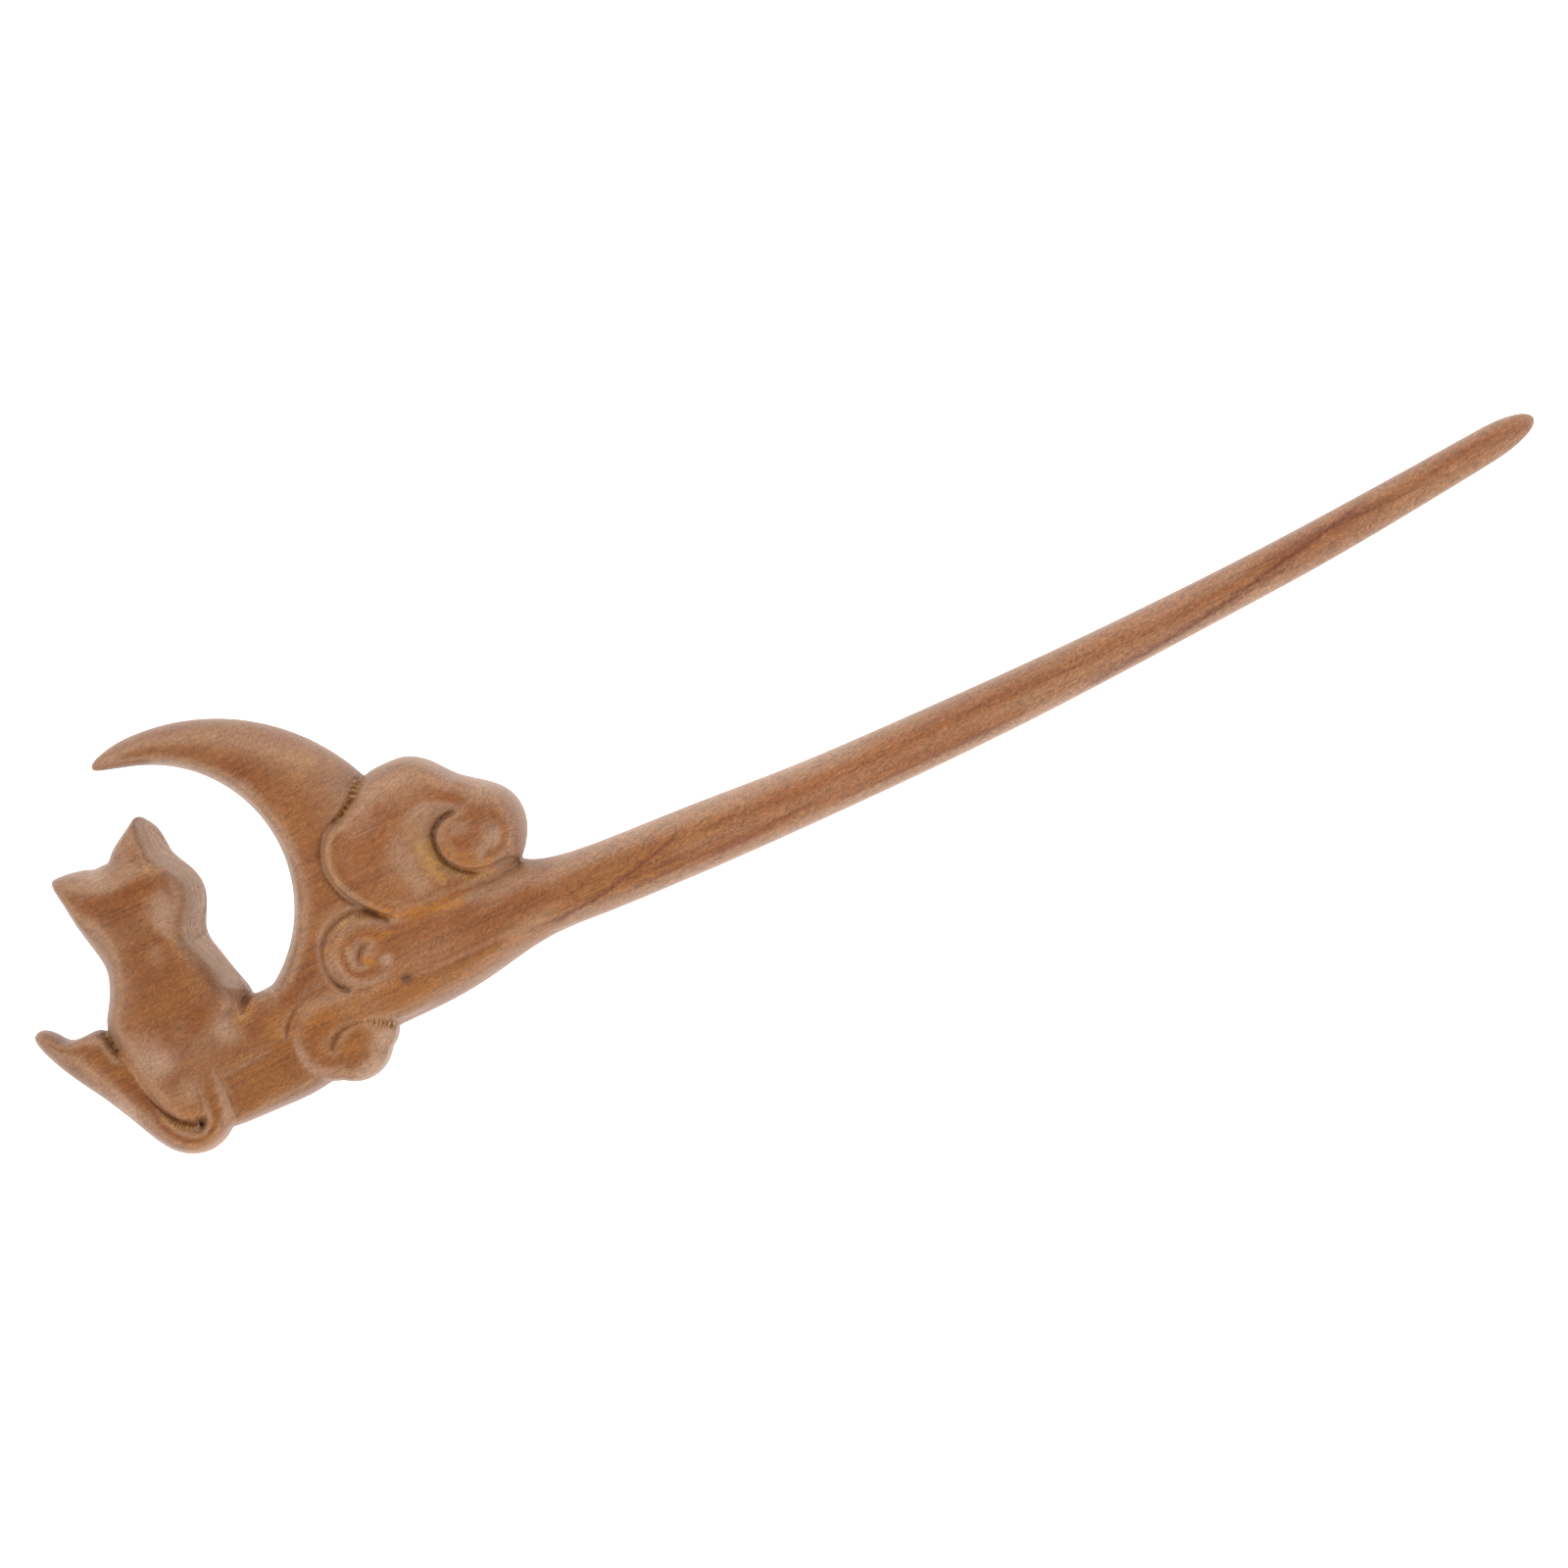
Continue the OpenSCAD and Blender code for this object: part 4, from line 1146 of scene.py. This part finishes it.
def grain(along, across, deep, detail=2.0, rough=0.5, shift=0.0, turn=0.0):
    """Noise whose cells are this many millimetres long, wide and deep, and turned by some degrees."""
    sizes = np.array([along, across, deep]) * MM
    fit = nodes.new("ShaderNodeMapping")
    fit.vector_type = "TEXTURE"
    fit.inputs["Scale"].default_value = sizes
    fit.inputs["Location"].default_value = sizes * (-shift, -shift * 0.7, -shift * 1.3)
    fit.inputs["Rotation"].default_value = (0, 0, math.radians(turn))
    links.new(place.outputs["Object"], fit.inputs["Vector"])
    return noise_of(fit.outputs["Vector"], detail, rough)


patches = grain(14, 6, 6, 2.0, 0.5, 3.1)
streaks = grain(30, 0.9, 1.4, 3.0, 0.6, 7.7)
lines = grain(42, 0.42, 1.0, 2.0, 0.5, 9.1)
strands = grain(2.6, 0.32, 0.4, 2.0, 0.6, 2.3)
curls = grain(0.75, 0.3, 0.3, 2.0, 0.6, 6.7, 24)
level = grain(0.42, 0.14, 0.14, 3.0, 0.65, 1.3)
turned = grain(0.42, 0.14, 0.14, 3.0, 0.65, 8.3, 38)
swirl = spread(grain(5, 3, 5, 1.0, 0.5, 12.3), 0.42, 0.56)
flecks = plus(level, scaled(swirl, minus(turned, level)))
pores = grain(0.9, 0.12, 0.15, 0.0, 0.5, 5.9)
wander = grain(1.1, 1.1, 1.1, 2.0, 0.6, 4.4)

# %% [markdown]
# ## Dark lines of the grain
# A few thin lines of dark grain cross the neck and the shaft. They are finer than the faces there, so the
# shader draws them itself: it knows how far along the stick a point is and how far off the bow, and so how
# far off each line. A little wandering keeps them from looking ruled.

# %% Lines along the bow
where = nodes.new("ShaderNodeSeparateXYZ")
links.new(place.outputs["Object"], where.inputs["Vector"])
along = maths("DIVIDE", where.outputs["X"], MM)
from_low = minus(along, BOW_LOW[0])
middle = plus(maths("DIVIDE", scaled(from_low, from_low), 2 * BOW_R), BOW_LOW[1])
off_middle = minus(maths("DIVIDE", where.outputs["Y"], MM), middle)
off_middle = plus(off_middle, scaled(minus(wander, 0.5), 0.55))

# %% Places of the dark lines
SEAMS = [
    # half width, strength, and the places along a dark line of the grain, as x and how far off the bow
    (0.35, 1.0, [(-36, -3.1), (-31, -2.8), (-26, -2.1), (-22.5, -1.0), (-18.5, 0.1), (-16.2, 1.0),
                 (-14, 1.9)]),
    (0.5, 0.5, [(-31, -1.4), (-27.5, -0.3), (-25.5, 0.8), (-23.5, 1.8)]),
    (0.4, 0.45, [(-16, 0.4), (-10.7, 0.6), (-7, 0.5), (-1, 0.0)]),
    (0.4, 0.5, [(-16, -2.6), (-9, -2.3), (-5, -1.7), (1, -1.2)]),
    (0.5, 0.4, [(11, 1.2), (16, 1.7), (22, 2.2)]),
    (0.35, 0.45, [(0, -2.3), (10, -2.1), (18, -2.1), (26, -1.8)]),
    (0.55, 1.0, [(31, -2.2), (38.9, -1.9), (44, -1.6), (50, -1.05), (55, -0.3), (60, 0.35), (66, 1.1),
                 (70, 1.6)]),
    (0.35, 0.6, [(48, -1.8), (54, -1.0), (60, -0.5)]),
    (0.7, 0.75, [(55, 1.3), (63, 1.0), (68, 0.7), (74, 0.2)]),
    (0.4, 0.4, [(22, 0.9), (29, 0.4), (36, 0.1)]),
    (0.35, 0.4, [(68, -0.3), (76, 0.4), (83, 0.8)]),
]

# %% Draw the dark lines
def seam(half, places):
    """1 on a line through the places, and 0 beside it and at its two ends."""
    first, last = places[0][0], places[-1][0]
    low = min(off for x, off in places)
    high = max(off for x, off in places)
    steps = [((x - first) / (last - first), (off - low) / (high - low)) for x, off in places]
    line = spread(curve(spread(along, first, last), steps), 0.0, 1.0, low, high)
    gap = maths("ABSOLUTE", minus(off_middle, line))
    ends = scaled(spread(along, first, first + 3), spread(along, last - 3, last, 1.0, 0.0))
    return scaled(spread(gap, 0.0, half, 1.0, 0.0), ends)


streak = 0.0
for half, strength, places in SEAMS:
    streak = maths("MAXIMUM", streak, scaled(seam(half, places), strength))

# %% [markdown]
# ## Colours in layers
# Each layer is blended over the last one, as strongly as its mark or its noise says. The head was oiled more
# than the shaft, so its wood is deeper and redder. The tones were matched to how the picture shows them.

# %% Tones
HEAD_WOOD = srgb(120, 67, 27), srgb(130, 79, 36)
NECK_WOOD = srgb(128, 74, 38), srgb(138, 88, 49)
SHAFT_WOOD = srgb(137, 83, 50), srgb(147, 97, 62)
BROAD_STREAK, THIN_STREAK, DARK_GRAIN = srgb(98, 50, 27), srgb(92, 46, 28), srgb(94, 44, 28)
# Painted light: a pale sheen for slopes, a greyer shade for steep walls, and a pale highlight tone.
SLOPE_SHEEN, STEEP_SHADE, HIGHLIGHT_TONE = srgb(157, 121, 92), srgb(118, 98, 86), srgb(156, 122, 99)
# Pale tones of the filed walls, which also paint their sheen.
FILED_SHEEN = srgb(156, 128, 114), srgb(174, 149, 134)
AMBER, RAW_CUT, PALE_FLECK = srgb(158, 95, 8), srgb(174, 126, 62), srgb(178, 136, 94)
# Stains and dirt. Both tones also paint shade, in a pit, along lines and in crevices.
STAIN_AND_SHADE, DIRT_AND_SHADE = srgb(66, 36, 24), srgb(66, 36, 20)
OIL_CAST = (1.0, 0.995, 0.94)

# %% Bare wood
broad = spread(patches, 0.38, 0.62)
colour = blend(spread(along, -67, -50), blend(broad, *HEAD_WOOD), blend(broad, *NECK_WOOD))
colour = blend(spread(along, -22, 0), colour, blend(broad, *SHAFT_WOOD))
colour = blend(spread(streaks, 0.52, 0.7, 0.0, 0.5), colour, BROAD_STREAK)
colour = blend(spread(lines, 0.6, 0.7, 0.0, 0.45), colour, THIN_STREAK)

# %% Painted sheen on slopes, painted highlights, and dark grain
on_shaft = spread(along, -35, -20)
lean = maths("DIVIDE", mark("tilt"), 90.0)
# Painted sheen: the further the skin leans, the paler its colour, as the light tent would show it.
head_sheen = curve(lean, [(0.07, 0.0), (0.24, 0.56), (0.34, 0.44), (0.5, 0.2), (0.8, 0.12)])
shaft_sheen = curve(lean, [(0.1, 0.0), (0.3, 0.2), (0.5, 0.3), (0.7, 0.4), (0.9, 0.5)])
slope = blend(on_shaft, scaled(head_sheen, minus(1.0, mark("deep"))), shaft_sheen)
colour = blend(slope, colour, SLOPE_SHEEN)
# Painted shade: steep walls are greyed and darkened.
colour = blend(spread(mark("tilt"), 30, 60, 0.0, 0.5), colour, STEEP_SHADE)
# Painted highlights on the head, and the shaft's painted pale bands.
colour = blend(mark("painted_sheen"), colour, HIGHLIGHT_TONE)
colour = blend(scaled(streak, spread(strands, 0.35, 0.6, 0.45, 0.95)), colour, DARK_GRAIN)
colour = blend(scaled(mark("warm"), spread(strands, 0.35, 0.6, 0.25, 0.8)), colour, AMBER)

# %% Filed walls, with a painted pale sheen
file_run = nodes.new("ShaderNodeCombineXYZ")
give(scaled(mark("lane"), 3.2), file_run.inputs["X"])
give(scaled(where.outputs["Y"], 300.0), file_run.inputs["Y"])
filing = noise_of(file_run.outputs["Vector"], 2.0)
filed = scaled(mark("filed"), spread(mark("tilt"), 22, 40))
# The walls' pale grey-pink is painted sheen, and the noise draws the file marks in it.
colour = blend(scaled(filed, 0.78), colour, blend(spread(filing, 0.34, 0.66), *FILED_SHEEN))

# %% Fleck, raw cuts, stains, and dirt with painted shade
colour = blend(spread(flecks, 0.52, 0.72, 0.0, 0.2), colour, PALE_FLECK)
# Raw cuts, and beside the curl also painted light on the hollow's slope.
raw = scaled(mark("tooled"), spread(wander, 0.35, 0.6, 0.4, 1.0))
colour = blend(scaled(raw, 0.75), colour, RAW_CUT)
# Stains, and painted shade along lines and in a pit.
colour = blend(scaled(mark("dark"), 0.6), colour, STAIN_AND_SHADE)
# Crevices get darker: partly dirt, and partly painted shade where the hollows would lie in shadow.
colour = blend(spread(mark("crevice"), 0.2, 1.0, 0.0, 0.4), colour, DIRT_AND_SHADE)

# %% Light and dark of the fibres
ribs = maths("SINE", plus(scaled(mark("path"), 16.0), scaled(wander, 18.0)))
ribs = scaled(ribs, mark("ticks"))
strong = spread(on_shaft, 0.0, 1.0, 0.62, 0.8)
shade = plus(scaled(spread(flecks, 0.25, 0.75, -1.0, 1.0), scaled(strong, 0.5)), 1.0)
shade = plus(shade, spread(strands, 0.3, 0.7, -0.11, 0.11))
shade = plus(shade, scaled(spread(curls, 0.3, 0.7, -1.0, 1.0), scaled(strong, 0.24)))
shade = plus(shade, spread(pores, 0.6, 0.75, 0.0, -0.14))
shade = plus(shade, scaled(ribs, 0.34))
colour = blend(1.0, colour, shade, "MULTIPLY")
colour = blend(1.0, colour, OIL_CAST, "MULTIPLY")
give(colour, skin.inputs["Base Color"])
skin.inputs["Roughness"].default_value = 0.46
skin.inputs["Specular IOR Level"].default_value = 0.45

# %% [markdown]
# ## The feel of the surface
# Pores, fibres and file marks are also felt, and they catch the light. They are far finer than the mesh, so
# they are a bump of a few hundredths of a millimetre. All larger forms, down to the gouge lines, are real
# geometry.

# %% Fine relief
relief = minus(flecks, scaled(pores, 0.6))
relief = plus(relief, scaled(ribs, 0.8))
relief = plus(relief, scaled(curls, 0.8))
relief = plus(relief, scaled(scaled(filing, filed), 3.0))
lift = nodes.new("ShaderNodeBump")
lift.inputs["Strength"].default_value = 0.6
lift.inputs["Distance"].default_value = 0.06 * MM
give(relief, lift.inputs["Height"])
give(lift.outputs["Normal"], skin.inputs["Normal"])
print("the wood has", len(nodes), "nodes")

# %% Give the piece its wood
stick.data.materials.clear()
stick.data.materials.append(wood)
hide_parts("hair_stick")
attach(stick, "root")

# %% [markdown]
# ## Floor and light
# The stick lies on white paper in a light tent. The tent is bright all round and dim straight overhead, so
# faces that look up show the deep colour of the wood, and every slope picks up a pale sheen. The paper glows
# a little, so that it shows pure white and hardly a shadow is left.

# %% Floor
nothing_selected()
bpy.ops.mesh.primitive_plane_add(size=3.0, location=(0, 0, 0))
floor = bpy.context.object
floor.name = "floor"
paper = bpy.data.materials.new("paper")
paper.use_nodes = True
sheet = paper.node_tree.nodes["Principled BSDF"].inputs
sheet["Base Color"].default_value = (0.9, 0.9, 0.9, 1)
sheet["Roughness"].default_value = 0.9
sheet["Emission Color"].default_value = (1, 1, 1, 1)
sheet["Emission Strength"].default_value = 0.9
floor.data.materials.append(paper)
floor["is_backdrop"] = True

# %% Light tent
TENT = [(0.0, 1.0), (0.25, 1.5), (0.4, 2.7), (0.66, 2.7), (0.8, 0.3), (1.0, 0.04)]
world = bpy.data.worlds.new("tent")
world.use_nodes = True
sky = world.node_tree
way = sky.nodes.new("ShaderNodeTexCoord")
split = sky.nodes.new("ShaderNodeSeparateXYZ")
ramp = sky.nodes.new("ShaderNodeValToRGB")
ramp.color_ramp.interpolation = "EASE"
while len(ramp.color_ramp.elements) < len(TENT):
    ramp.color_ramp.elements.new(0.5)
for step, (height, glow) in zip(ramp.color_ramp.elements, TENT):
    step.position = height
    step.color = (glow, glow, glow, 1)
sky.links.new(way.outputs["Generated"], split.inputs["Vector"])
sky.links.new(split.outputs["Z"], ramp.inputs["Fac"])
sky.links.new(ramp.outputs["Color"], sky.nodes["Background"].inputs["Color"])
bpy.context.scene.world = world

# %% [markdown]
# ## The camera
# The picture was taken from nearly straight above, with the stick lying aslant in it. A long lens from 60 cm
# up keeps the side walls as narrow as they look there.

# %% Camera
VIEW_MM = (-2.60, -12.62)
VIEW_WIDTH = 173.97
VIEW_FROM = 600.0
VIEW_TURN = -25.0
bpy.ops.object.camera_add(location=(VIEW_MM[0] * MM, VIEW_MM[1] * MM, (VIEW_FROM + WAIST) * MM),
                          rotation=(0, 0, math.radians(VIEW_TURN)))
camera = bpy.context.object
camera.data.sensor_width = 36
camera.data.lens = 36 * VIEW_FROM / VIEW_WIDTH
camera.data.clip_start = 0.01
bpy.context.scene.camera = camera
bpy.context.scene.view_settings.view_transform = "Standard"

# %% [markdown]
# ## Sizes for the record
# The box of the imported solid, taken before anything was added, and the box of what is now seen are written
# down side by side, so that anyone can tell that the carving kept to its frame.

# %% Sizes for the record
low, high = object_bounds()
print("visual box, mm:", [round(v / MM, 2) for v in (*low, *high)], round(time.time() - STARTED, 1), "s")
